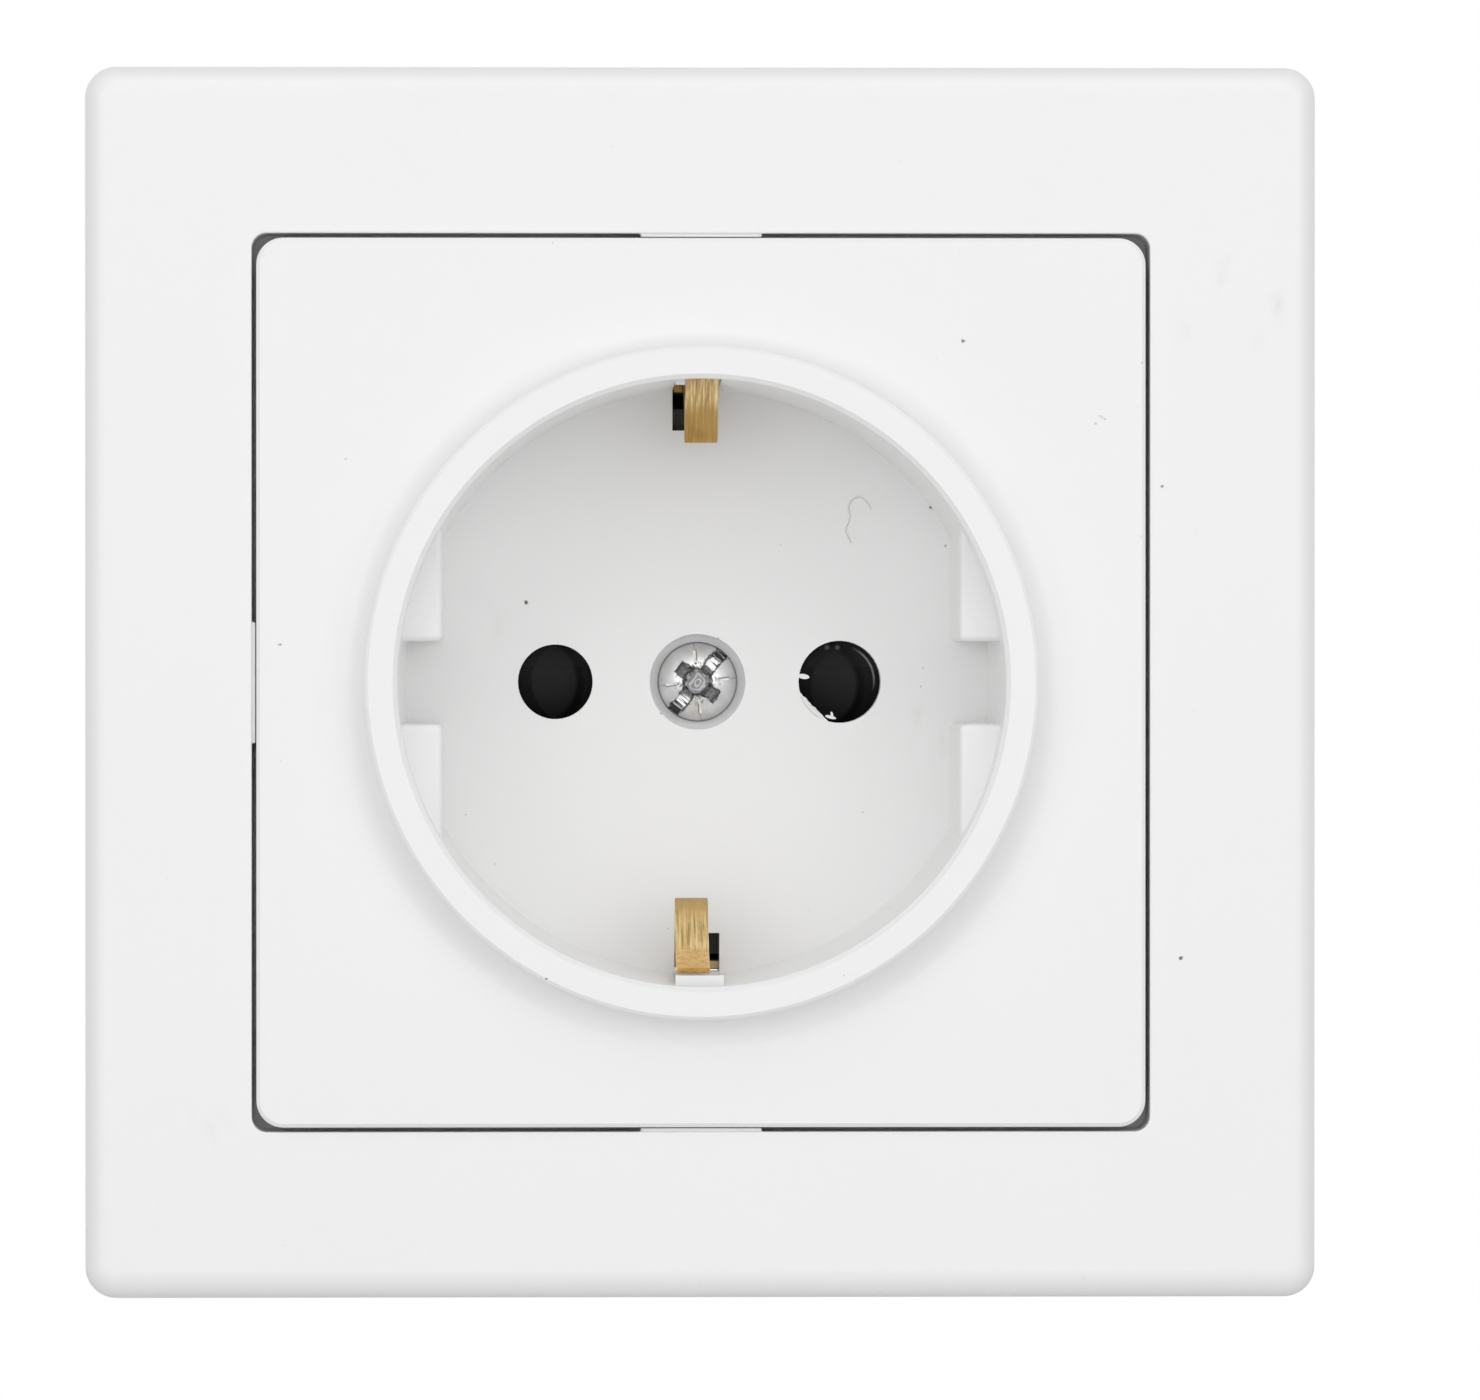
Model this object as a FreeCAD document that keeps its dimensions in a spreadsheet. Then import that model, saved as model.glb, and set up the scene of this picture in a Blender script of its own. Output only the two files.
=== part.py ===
"""Type f wall socket: a flush insert behind a square cover frame.

+X is to the right, +Z is up, and the wall is the plane Y = 0. The front looks along -Y, so a
station is measured out of the wall: positive towards the room, negative into the wall box.
"""
import FreeCAD, Part
import Sketcher

import math
import os

doc = FreeCAD.newDocument("TypeFSocket")

# Driving dimensions in millimetres, or degrees where the name says so
SIZES = {
    # cover frame
    "frame_side": 80.5,
    "frame_depth": 8.5,
    "frame_wall": 2.0,
    "frame_front_thickness": 2.0,
    "frame_front_corner": 0.15,
    "frame_edge_round": 1.9,
    "opening_side": 58.65,
    "opening_corner": 1.0,
    "opening_wall": 1.4,
    "ledge_width": 2.4,
    "ledge_thickness": 1.2,
    "tab_width": 7.9,
    "tab_gap": 0.08,
    "tab_setback": 0.25,
    "frame_rib_thickness": 1.2,
    "frame_rib_height": 2.6,
    "frame_rib_place": 20.0,
    # centre plate
    "plate_gap": 0.32,
    "plate_proud": 0.5,
    "plate_corner": 1.75,
    "plate_edge_bevel": 0.25,
    "plate_thickness": 2.2,
    "plate_skirt_depth": 4.5,
    "plate_skirt_wall": 1.5,
    "plate_rib_thickness": 1.2,
    "plate_rib_height": 1.5,
    "collar_height": 2.5,
    "collar_width": 2.1,
    "collar_edge_bevel": 0.2,
    "cove_radius": 2.0,
    "mouth_radius": 19.8,
    "mouth_bevel": 0.3,
    "dish_depth": 17.5,
    "dish_draft": 0.3,
    "dish_floor_thickness": 2.0,
    "dish_wall": 1.5,
    "key_depth": 2.6,
    "key_notch": 5.4,
    "key_setback": 3.5,
    "pin_place": 9.5,
    "left_pin_hole": 5.0,
    "right_pin_hole": 5.5,
    "pin_diameter": 4.8,
    "pin_room": 1.0,
    "earth_slot_width": 3.36,
    "earth_slot_length": 2.72,
    "earth_pocket_lip": 1.1,
    "boss_radius": 3.5,
    # centre screw
    "screw_radius": 1.5,
    "screw_end": 1.4,
    "screw_head_radius": 2.67,
    "screw_head_rim": 0.55,
    "screw_head_height": 1.7,
    "screw_seat_radius": 3.2,
    "screw_seat_depth": 1.2,
    "screw_clearance": 0.2,
    "thread_clearance": 0.05,
    "slot_width": 0.82,
    "slot_depth": 0.98,
    "cross_length": 3.3,
    "cross_width": 0.72,
    "cross_reach": 2.5,
    "cross_depth": 1.45,
    "pit_radius": 0.75,
    "pit_depth": 1.9,
    "tick_turn_degrees": 45.0,
    "tick_width": 0.16,
    "tick_length": 0.95,
    "tick_start": 1.15,
    "tick_depth": 0.7,
    "screw_turn_degrees": 50.7,
    # shutter and its tray
    "shutter_thickness": 2.6,
    "shutter_gap": 0.25,
    "shutter_travel": 5.7,
    "shutter_side_cover": 0.65,
    "shutter_cover": 0.25,
    "shutter_slot_gap": 0.4,
    "shutter_bridge_height": 3.0,
    "shutter_bridge_half_width": 8.0,
    "shutter_inner_cover": 0.55,
    "ramp_depth": 2.0,
    "ramp_top": 1.0,
    "tray_wall": 1.2,
    "tray_floor": 1.2,
    "tray_stop_gap": 0.2,
    "tray_bore_gap": 0.3,
    "spring_strip": 0.3,
    "spring_width": 1.6,
    "spring_half_span": 3.2,
    "spring_length": 9.0,
    "spring_side_gap": 0.4,
    "spring_seat_gap": 0.05,
    # support ring
    "ring_frame_gap": 2.75,
    "ring_corner": 9.0,
    "ring_thickness": 1.0,
    "ring_hole_gap": 0.5,
    "box_screw_spacing": 60.0,
    "box_slot_width": 3.8,
    "box_slot_length": 6.6,
    "rivet_out": 2.4,
    "rivet_radius": 1.2,
    "rivet_gap": 0.05,
    "rivet_head_radius": 2.2,
    "rivet_head_height": 0.8,
    "link_notch_width": 9.0,
    "link_notch_depth": 2.0,
    # contact base
    "base_gap": 0.3,
    "base_wall": 1.3,
    "base_depth": 31.0,
    "base_flat_wall": 0.7,
    "base_flat_height": 14.0,
    "lug_radius": 3.0,
    "lug_depth": 6.0,
    "terminal_depth": 6.0,
    "chamber_front_wall": 1.3,
    "chamber_width": 8.6,
    "chamber_height": 10.4,
    "terminal_pocket_top": 16.2,
    "wire_gate_width": 5.0,
    "wire_gate_step": 0.5,
    # earth bracket
    "bracket_width": 7.0,
    "bracket_side_gap": 0.3,
    "bracket_thickness": 0.8,
    "clip_thickness": 0.6,
    "clip_arm_out": 0.12,
    "clip_crest_depth": 4.45,
    "clip_crest_station": -1.0,
    "clip_tip_inset": 0.5,
    "clip_tip_station": 8.4,
    "arm_lift": 0.35,
    "crest_lift": 0.78,
    "tip_lift": 0.7,
    "clip_slot_gap": 0.08,
    "upper_notch": 0.65,
    "upper_trim": 0.36,
    "lower_notch": 1.0,
    "lower_trim": 0.22,
    "lower_arm_trim": 0.2,
    "lower_arm_step": 1.5,
    "clip_pocket_gap": 0.85,
    "stop_station": 9.2,
    "stop_depth": 1.6,
    "stop_rise": 0.5,
    "stop_bite": 0.2,
    "stop_side_gap": 0.1,
    "upper_stop": 0.35,
    # pin contacts, clamps and terminal screws
    "contact_thickness": 0.8,
    "contact_width": 6.0,
    "grip_gap": 4.2,
    "grip_inset": 2.7,
    "mouth_gap": 6.2,
    "contact_mouth_inset": 1.2,
    "contact_root_gap": 5.0,
    "tail_end": 15.4,
    "grip_spring_thickness": 0.5,
    "grip_spring_length": 4.0,
    "grip_spring_gap": 0.05,
    "terminal_height": 11.5,
    "clamp_side": 6.8,
    "clamp_thickness": 1.2,
    "clamp_groove_width": 0.9,
    "clamp_groove_depth": 0.35,
    "terminal_screw_radius": 1.5,
    "terminal_screw_length": 5.5,
    "terminal_head_radius": 2.8,
    "terminal_head_height": 2.0,
    "terminal_slot_width": 0.8,
    "terminal_slot_depth": 0.9,
    "terminal_bore_gap": 0.3,
    # spreading claws
    "claw_gap": 1.6,
    "claw_trunnion_station": 3.0,
    "claw_trunnion_radius": 0.9,
    "claw_trunnion_gap": 0.06,
    "claw_width": 8.8,
    "claw_thickness": 1.2,
    "claw_length": 11.0,
    "claw_foot": 5.0,
    "claw_tooth": 1.2,
    "claw_web": 1.6,
    "claw_slot": 3.6,
    "ear_thickness": 1.0,
    "ear_gap": 0.4,
    "ear_margin": 1.4,
    "ear_window": 5.0,
    "claw_screw_offset": 2.7,
    "claw_screw_radius": 1.45,
    "claw_screw_length": 19.0,
    "claw_screw_head_radius": 2.4,
    "claw_screw_head_height": 1.6,
    "claw_screw_slot_width": 0.8,
    "claw_screw_slot_depth": 0.8,
    "claw_nut_side": 5.0,
    "claw_nut_thickness": 2.2,
    "claw_nut_gap": 0.1,
}

sheet = doc.addObject("Spreadsheet::Sheet", "Sizes")


class Size:
    """A size of the sheet, or one worked out from such sizes: its number and its formula."""

    def __init__(self, number, formula):
        self.number = number
        self.formula = formula

    def joined(self, other, sign, number):
        return Size(number, f"({self.formula} {sign} {other.formula})")

    def __add__(self, other):
        other = as_size(other)
        return self.joined(other, "+", self.number + other.number)

    def __radd__(self, other):
        return as_size(other) + self

    def __sub__(self, other):
        other = as_size(other)
        return self.joined(other, "-", self.number - other.number)

    def __rsub__(self, other):
        return as_size(other) - self

    def __mul__(self, other):
        other = as_size(other)
        return self.joined(other, "*", self.number * other.number)

    def __rmul__(self, other):
        return as_size(other) * self

    def __truediv__(self, other):
        other = as_size(other)
        return self.joined(other, "/", self.number / other.number)

    def __neg__(self):
        return Size(-self.number, f"(-1 * {self.formula})")

    def root(self):
        return Size(math.sqrt(self.number), f"sqrt({self.formula})")


def as_size(value):
    return value if isinstance(value, Size) else Size(value, str(value))


def read_sizes():
    """Fill the sheet and return each of its cells as a Size."""
    cells = {}
    for row, (name, number) in enumerate(SIZES.items(), start=1):
        sheet.set(f"A{row}", name)
        sheet.set(f"B{row}", str(number))
        sheet.setAlias(f"B{row}", name)
        cells[name] = Size(number, f"Sizes.{name}")
    doc.recompute()
    return cells


size = read_sizes()

# Stations out of the wall that several pieces share
frame_front = size["frame_depth"]
plate_front = frame_front + size["plate_proud"]
plate_back = plate_front - size["plate_thickness"]
skirt_end = plate_front - size["plate_skirt_depth"]
rim = plate_front + size["collar_height"]
dish_floor = rim - size["dish_depth"]
dish_back = dish_floor - size["dish_floor_thickness"]
shutter_front = dish_back - size["shutter_gap"]
shutter_back = shutter_front - size["shutter_thickness"]
tray_face = shutter_back - size["shutter_gap"]
tray_back = tray_face - size["tray_floor"]
base_rear = -size["base_depth"]
contact_depth = size["base_depth"] - size["terminal_depth"]
strap_front = -contact_depth
strap_back = strap_front - size["bracket_thickness"]
tail_back = strap_front - size["contact_thickness"]

# Radii and half widths that several pieces share
half_plate = size["opening_side"] / 2 - size["plate_gap"]
half_ring = size["frame_side"] / 2 - size["frame_wall"] - size["ring_frame_gap"]
dish_radius = size["mouth_radius"] - size["dish_draft"]
cup_radius = size["mouth_radius"] + size["dish_wall"]
base_inner_radius = cup_radius + size["base_gap"]
base_radius = base_inner_radius + size["base_wall"]
ring_hole_radius = cup_radius + size["ring_hole_gap"]
pin_way_radius = (size["pin_diameter"] + size["pin_room"]) / 2
arm_radius = dish_radius + size["clip_arm_out"]
earth_pocket_radius = arm_radius + size["arm_lift"] + size["clip_pocket_gap"]
base_flat = base_inner_radius + size["base_flat_wall"]
trunnion_place = base_flat + size["claw_gap"]
claw_screw_place = trunnion_place + size["claw_screw_offset"]
contact_mouth = size["chamber_front_wall"] + size["contact_mouth_inset"] - tray_back
grip_depth = contact_mouth + size["grip_inset"]
terminal_bore_radius = size["terminal_screw_radius"] + size["terminal_bore_gap"]
left_terminal = (-size["pin_place"], size["terminal_height"])
right_terminal = (size["pin_place"], size["terminal_height"])
earth_terminal = (as_size(0), -size["terminal_height"])

WALL = "XZ_Plane"
LEVEL = "XY_Plane"
SIDE = "YZ_Plane"
DIAGONAL = math.sqrt(0.5)
SPRING_LEGS = 5
COVE_CHORDS = 4
# an arc of the upper clip's outer face bulges to this side of the outline's way
CLIP_BULGE = 1


def in_order(first, second):
    return sorted((first, second), key=lambda item: item.number)


def make_body(label):
    body = doc.addObject("PartDesign::Body", label)
    body.Label = label
    return body


def make_sketch(body, plane, station=None, turn=None):
    """An empty sketch on one of the body's own planes, moved along its normal to a station."""
    support = [item for item in body.Origin.OriginFeatures if item.Role == plane][0]
    sketch = body.newObject("Sketcher::SketchObject", f"{body.Label}_sketch")
    sketch.AttachmentSupport = (support, [""])
    sketch.MapMode = "FlatFace"
    if station is not None:
        sketch.setExpression("AttachmentOffset.Base.z", as_size(station).formula)
    if turn is not None:
        sketch.setExpression("AttachmentOffset.Rotation.Angle", turn.formula)
    return sketch


def set_place(sketch, element, point, place):
    """Tie one point of a sketch element to its two coordinates."""
    for kind, value in zip(("DistanceX", "DistanceY"), place):
        constraint = Sketcher.Constraint(kind, element, point, value.number)
        index = sketch.addConstraint(constraint)
        sketch.setExpression(f"Constraints[{index}]", value.formula)


def set_radius(sketch, element, radius):
    index = sketch.addConstraint(Sketcher.Constraint("Radius", element, radius.number))
    sketch.setExpression(f"Constraints[{index}]", radius.formula)


def arc_between(start, end, radius, bulge):
    """The short arc of a radius from start to end, bulging to the right (1) or left (-1) of the way."""
    middle = (start + end) * 0.5
    way = end - start
    across = FreeCAD.Vector(way.y, -way.x, 0).normalize() * bulge
    half = way.Length / 2
    drop = math.sqrt(max(radius * radius - half * half, 0))
    crown = middle + across * (radius - drop)
    return Part.Arc(start, crown, end)


def draw_outline(sketch, points, arcs=None):
    """A closed outline through points. arcs holds {index: (radius, bulge)} for the curved stretches."""
    arcs = arcs or {}
    places = [(as_size(across), as_size(up)) for across, up in points]
    spots = [FreeCAD.Vector(across.number, up.number, 0) for across, up in places]
    elements = []
    for index, start in enumerate(spots):
        end = spots[(index + 1) % len(spots)]
        if index in arcs:
            radius, bulge = arcs[index]
            curve = arc_between(start, end, radius.number, bulge)
        else:
            curve = Part.LineSegment(start, end)
        elements.append(sketch.addGeometry(curve))
    ends = []
    for index, element in enumerate(elements):
        # an arc runs counter-clockwise in a sketch, so its first point may be the outline's next one
        first = FreeCAD.Vector(sketch.getPoint(element, 1))
        forward = first.distanceToPoint(spots[index]) < first.distanceToPoint(spots[(index + 1) % len(spots)])
        ends.append((1, 2) if forward else (2, 1))
    for index, element in enumerate(elements):
        following = (index + 1) % len(elements)
        sketch.addConstraint(
            Sketcher.Constraint("Coincident", element, ends[index][1], elements[following], ends[following][0])
        )
    for index, element in enumerate(elements):
        set_place(sketch, element, ends[index][0], places[index])
        if index in arcs:
            set_radius(sketch, element, arcs[index][0])


def draw_rectangle(sketch, left, right, low, high):
    draw_outline(sketch, [(left, low), (right, low), (right, high), (left, high)])


def draw_rounded_square(sketch, half, corner):
    """A square about the sketch's origin with rounded corners."""
    flat = half - corner
    points = [
        (-flat, -half), (flat, -half), (half, -flat), (half, flat),
        (flat, half), (-flat, half), (-half, flat), (-half, -flat),
    ]
    draw_outline(sketch, points, {index: (corner, 1) for index in (1, 3, 5, 7)})


def draw_circle(sketch, across, up, radius):
    across, up, radius = as_size(across), as_size(up), as_size(radius)
    centre = FreeCAD.Vector(across.number, up.number, 0)
    element = sketch.addGeometry(Part.Circle(centre, FreeCAD.Vector(0, 0, 1), radius.number))
    set_place(sketch, element, 3, (across, up))
    set_radius(sketch, element, radius)


def draw_slot(sketch, across, low, high, radius):
    """An upright slot with round ends, whose end centres are at low and high."""
    right, left = (across + side * radius for side in (1, -1))
    corners = [
        FreeCAD.Vector(spot_across.number, spot_up.number, 0)
        for spot_across, spot_up in ((right, low), (right, high), (left, high), (left, low))
    ]
    elements = []
    for index in (0, 2):
        elements.append(sketch.addGeometry(Part.LineSegment(corners[index], corners[index + 1])))
        centre = (corners[index + 1] + corners[(index + 2) % 4]) * 0.5
        turned = math.pi * index / 2
        circle = Part.Circle(centre, FreeCAD.Vector(0, 0, 1), radius.number)
        elements.append(sketch.addGeometry(Part.ArcOfCircle(circle, turned, turned + math.pi)))
    for index, element in enumerate(elements):
        following = elements[(index + 1) % 4]
        sketch.addConstraint(Sketcher.Constraint("Coincident", element, 2, following, 1))
    for element, height in ((elements[1], high), (elements[3], low)):
        set_place(sketch, element, 3, (across, height))
        set_radius(sketch, element, radius)
        for point in (1, 2):
            index = sketch.addConstraint(Sketcher.Constraint("DistanceY", element, point, height.number))
            sketch.setExpression(f"Constraints[{index}]", height.formula)


def extrude(body, kind, sketch, length, reverse=False, symmetric=False):
    feature = body.newObject(f"PartDesign::{kind}", f"{body.Label}_{kind.lower()}")
    feature.Profile = sketch
    feature.setExpression("Length", as_size(length).formula)
    feature.Reversed = reverse
    if symmetric:
        feature.SideType = "Symmetric"
    sketch.Visibility = False
    doc.recompute()
    return feature


def pad(body, sketch, length, **options):
    """Add along the sketch's normal, which points out of the wall on the wall plane."""
    return extrude(body, "Pad", sketch, length, **options)


def pocket(body, sketch, length, **options):
    """Cut against the sketch's normal, which is into the wall on the wall plane."""
    before = body.Tip.Shape.Volume
    feature = extrude(body, "Pocket", sketch, length, **options)
    if not feature.Shape.Volume < before:
        raise RuntimeError(f"a cut in {body.Label} removes nothing")
    return feature


def revolve(body, sketch):
    feature = body.newObject("PartDesign::Revolution", f"{body.Label}_revolution")
    feature.Profile = sketch
    feature.ReferenceAxis = (sketch, ["V_Axis"])
    feature.Angle = 360
    doc.recompute()
    return feature


def dress(body, kind, radius, chosen):
    """Round or bevel the edges of the body's last feature that a test on their middle picks."""
    base = body.Tip
    names = [f"Edge{number}" for number, edge in enumerate(base.Shape.Edges, start=1) if chosen(edge)]
    if not names:
        raise RuntimeError(f"no edge to dress on {body.Label}")
    feature = body.newObject(f"PartDesign::{kind}", f"{body.Label}_{kind.lower()}")
    feature.Base = (base, names)
    feature.setExpression("Radius" if kind == "Fillet" else "Size", radius.formula)
    doc.recompute()
    return feature


def at_station(station):
    """A test for edges that lie wholly at one station out of the wall."""
    return lambda edge: all(abs(-vertex.Y - station.number) < 1e-4 for vertex in edge.Vertexes)


def make_cover_frame():
    """The bezel: a hollow square with a skirt and a ledge round its opening."""
    body = make_body("cover_frame")
    half = size["frame_side"] / 2
    half_opening = size["opening_side"] / 2
    half_skirt = half_opening + size["opening_wall"]
    inner = half - size["frame_wall"]
    roof = frame_front - size["frame_front_thickness"]
    ledge_back = skirt_end - size["ledge_thickness"]

    sketch = make_sketch(body, WALL)
    draw_rounded_square(sketch, half, size["frame_edge_round"] + size["frame_front_corner"])
    pad(body, sketch, frame_front)
    dress(body, "Fillet", size["frame_edge_round"], at_station(frame_front))

    sketch = make_sketch(body, WALL)
    draw_rectangle(sketch, -inner, inner, -inner, inner)
    pocket(body, sketch, roof, reverse=True)

    sketch = make_sketch(body, WALL, ledge_back)
    draw_rounded_square(sketch, half_skirt, size["opening_corner"] + size["opening_wall"])
    pad(body, sketch, frame_front - ledge_back)

    sketch = make_sketch(body, WALL, roof)
    for sign in (-1, 1):
        for place in (-1, 1):
            middle = place * size["frame_rib_place"]
            edge = size["frame_rib_thickness"] / 2
            start, end = in_order(sign * (half_skirt - edge), sign * (inner + edge))
            draw_rectangle(sketch, start, end, middle - edge, middle + edge)
            draw_rectangle(sketch, middle - edge, middle + edge, start, end)
    pad(body, sketch, size["frame_rib_height"], reverse=True)

    sketch = make_sketch(body, WALL, frame_front)
    draw_rounded_square(sketch, half_opening, size["opening_corner"])
    pocket(body, sketch, frame_front - skirt_end)

    sketch = make_sketch(body, WALL, skirt_end)
    inside = half_opening - size["ledge_width"]
    draw_rectangle(sketch, -inside, inside, -inside, inside)
    pocket(body, sketch, size["ledge_thickness"])

    # the centring tabs stand on the left, upper and lower sides
    sketch = make_sketch(body, WALL, skirt_end)
    tab = size["tab_width"] / 2
    root = half_opening + size["opening_wall"] / 2
    tip = half_plate + size["tab_gap"]
    draw_rectangle(sketch, -root, -tip, -tab, tab)
    draw_rectangle(sketch, -tab, tab, tip, root)
    draw_rectangle(sketch, -tab, tab, -root, -tip)
    pad(body, sketch, frame_front - skirt_end - size["tab_setback"])
    return body


def make_centre_plate():
    """The centre moulding: plate, collar and dish, with key blocks, pin holes and earth slots."""
    body = make_body("centre_plate")
    inner = half_plate - size["plate_skirt_wall"]

    sketch = make_sketch(body, WALL, skirt_end)
    draw_rounded_square(sketch, half_plate, size["plate_corner"])
    pad(body, sketch, size["plate_skirt_depth"])
    dress(body, "Chamfer", size["plate_edge_bevel"], at_station(plate_front))

    sketch = make_sketch(body, WALL, skirt_end)
    draw_rectangle(sketch, -inner, inner, -inner, inner)
    pocket(body, sketch, size["plate_skirt_depth"] - size["plate_thickness"], reverse=True)

    sketch = make_sketch(body, WALL, plate_front)
    draw_circle(sketch, 0, 0, cup_radius)
    pocket(body, sketch, size["plate_thickness"])

    # stiffening ribs from the cup to the skirt
    sketch = make_sketch(body, WALL, plate_back)
    edge = size["plate_rib_thickness"] / 2
    for sign in (-1, 1):
        root = cup_radius - size["dish_wall"] / 2
        tip = inner + size["plate_skirt_wall"] / 2
        start, end = in_order(sign * root, sign * tip)
        draw_rectangle(sketch, start, end, -edge, edge)
        draw_rectangle(sketch, -edge, edge, start, end)
    pad(body, sketch, size["plate_rib_height"], reverse=True)

    # collar, cove and cup in one turned section, drawn in radius and depth
    sketch = make_sketch(body, LEVEL)
    mouth = size["mouth_radius"]
    mouth_bevel = size["mouth_bevel"]
    collar = mouth + size["collar_width"]
    collar_bevel = size["collar_edge_bevel"]
    cove = size["cove_radius"]
    angles = [math.pi / 2 * step / COVE_CHORDS for step in range(COVE_CHORDS + 1)]
    cove_points = [
        (collar + cove * (1 - math.cos(angle)), -(plate_front + cove * (1 - math.sin(angle))))
        for angle in angles
    ]
    points = [
        (0, -dish_floor),
        (dish_radius, -dish_floor),
        (mouth, -(rim - mouth_bevel)),
        (mouth + mouth_bevel, -rim),
        (collar - collar_bevel, -rim),
        (collar, -(rim - collar_bevel)),
        *cove_points,
        (collar + cove, -plate_back),
        (cup_radius, -plate_back),
        (cup_radius, -dish_back),
        (0, -dish_back),
    ]
    draw_outline(sketch, points)
    revolve(body, sketch)

    # key blocks left and right, each pair with its notch between
    sketch = make_sketch(body, WALL, dish_floor)
    root = mouth + size["dish_wall"] / 2
    flat = dish_radius - size["key_depth"]
    notch = size["key_notch"] / 2
    far = (root * root - notch * notch).root()
    high = (root * root - flat * flat).root()
    for across in (-1, 1):
        for up in (-1, 1):
            points = [
                (across * flat, up * notch),
                (across * far, up * notch),
                (across * flat, up * high),
            ]
            draw_outline(sketch, points, {1: (root, across * up)})
    pad(body, sketch, size["dish_depth"] - size["key_setback"])

    # screw boss behind the floor
    sketch = make_sketch(body, WALL, dish_back)
    draw_circle(sketch, 0, 0, size["boss_radius"])
    pad(body, sketch, dish_back - tray_back - size["shutter_gap"], reverse=True)

    sketch = make_sketch(body, WALL, dish_floor)
    draw_circle(sketch, 0, 0, size["screw_seat_radius"])
    pocket(body, sketch, size["screw_seat_depth"])

    sketch = make_sketch(body, WALL, dish_floor)
    draw_circle(sketch, 0, 0, size["screw_radius"] + size["screw_clearance"])
    pocket(body, sketch, dish_floor - tray_back)

    sketch = make_sketch(body, WALL, dish_floor)
    draw_circle(sketch, -size["pin_place"], 0, size["left_pin_hole"] / 2)
    draw_circle(sketch, size["pin_place"], 0, size["right_pin_hole"] / 2)
    pocket(body, sketch, size["dish_floor_thickness"])

    # grooves up the wall to the lip, where the clips spring back, and slots for their arms
    edge = size["earth_slot_width"] / 2
    near = dish_radius - size["earth_slot_length"]
    groove_top = rim - size["earth_pocket_lip"]
    upper_right = edge - size["upper_trim"]
    lower_right = edge - size["lower_trim"]
    sketch = make_sketch(body, WALL, groove_top)
    for sign, right in ((-1, lower_right), (1, upper_right)):
        low, high = in_order(sign * near, sign * earth_pocket_radius)
        draw_rectangle(sketch, -edge, right, low, high)
    pocket(body, sketch, groove_top - dish_floor)

    sketch = make_sketch(body, WALL, dish_floor)
    lower_left = size["lower_arm_trim"] - edge
    for sign, left, right in ((-1, lower_left, lower_right), (1, -edge, upper_right)):
        far = arm_radius + sign * size["arm_lift"] + size["clip_slot_gap"]
        low, high = in_order(sign * near, sign * far)
        draw_rectangle(sketch, left, right, low, high)
    pocket(body, sketch, size["dish_floor_thickness"])

    # stops in the grooves: outside the lower clip's tip, and beside the upper clip
    sketch = make_sketch(body, WALL, size["stop_station"])
    root = earth_pocket_radius + size["stop_bite"]
    lower_stop = size["mouth_radius"] - size["clip_tip_inset"] - size["tip_lift"] + size["stop_rise"]
    upper_stop = size["mouth_radius"] - size["upper_stop"]
    upper_clip_left = size["upper_notch"] + size["clip_slot_gap"] - edge
    draw_rectangle(sketch, -edge, lower_right, -root, -lower_stop)
    draw_rectangle(sketch, -edge, upper_clip_left - size["stop_side_gap"], upper_stop, root)
    pad(body, sketch, size["stop_depth"], reverse=True)
    return body


def make_centre_screw():
    """The centre screw: domed head with a slot, a cross recess, a pit and four ticks."""
    body = make_body("centre_screw")
    seat = dish_floor - size["screw_seat_depth"]
    shoulder = seat + size["screw_head_rim"]
    crown = seat + size["screw_head_height"]
    end = strap_back - size["screw_end"]
    head = size["screw_head_radius"]
    rise = size["screw_head_height"] - size["screw_head_rim"]
    dome = (head * head + rise * rise) / (2 * rise)

    sketch = make_sketch(body, LEVEL)
    points = [
        (0, -crown),
        (0, -end),
        (size["screw_radius"], -end),
        (size["screw_radius"], -seat),
        (head, -seat),
        (head, -shoulder),
    ]
    draw_outline(sketch, points, {5: (dome, -1)})
    revolve(body, sketch)

    turn = size["screw_turn_degrees"]
    sketch = make_sketch(body, WALL, crown, turn)
    draw_rectangle(sketch, -head, head, -size["slot_width"] / 2, size["slot_width"] / 2)
    pocket(body, sketch, size["slot_depth"])

    sketch = make_sketch(body, WALL, crown, turn)
    reach = size["cross_length"] / 2
    draw_rectangle(sketch, -size["cross_width"] / 2, size["cross_width"] / 2, -reach, reach)
    pocket(body, sketch, size["cross_depth"])

    # along the slot the cross is shorter, and leaves a step at each end
    sketch = make_sketch(body, WALL, crown, turn)
    reach = size["cross_reach"] / 2
    draw_rectangle(sketch, -reach, reach, -size["slot_width"] / 2, size["slot_width"] / 2)
    pocket(body, sketch, size["cross_depth"])

    sketch = make_sketch(body, WALL, crown)
    draw_circle(sketch, 0, 0, size["pit_radius"])
    pocket(body, sketch, size["pit_depth"])

    # the ticks lie midway between the arms of the cross
    sketch = make_sketch(body, WALL, crown, turn + size["tick_turn_degrees"])
    edge = size["tick_width"] / 2
    near = size["tick_start"]
    far = near + size["tick_length"]
    for sign in (-1, 1):
        low, high = in_order(sign * near, sign * far)
        draw_rectangle(sketch, low, high, -edge, edge)
        draw_rectangle(sketch, -edge, edge, low, high)
    pocket(body, sketch, size["tick_depth"])
    return body


hole_radius = size["right_pin_hole"] / 2
shutter_half_height = hole_radius + size["shutter_cover"]
shutter_half_width = size["pin_place"] + hole_radius + size["shutter_side_cover"]
shutter_leg = size["pin_place"] - hole_radius - size["shutter_inner_cover"]
bridge_low = size["boss_radius"] + size["shutter_slot_gap"]
bridge_top = bridge_low + size["shutter_bridge_height"]


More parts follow.
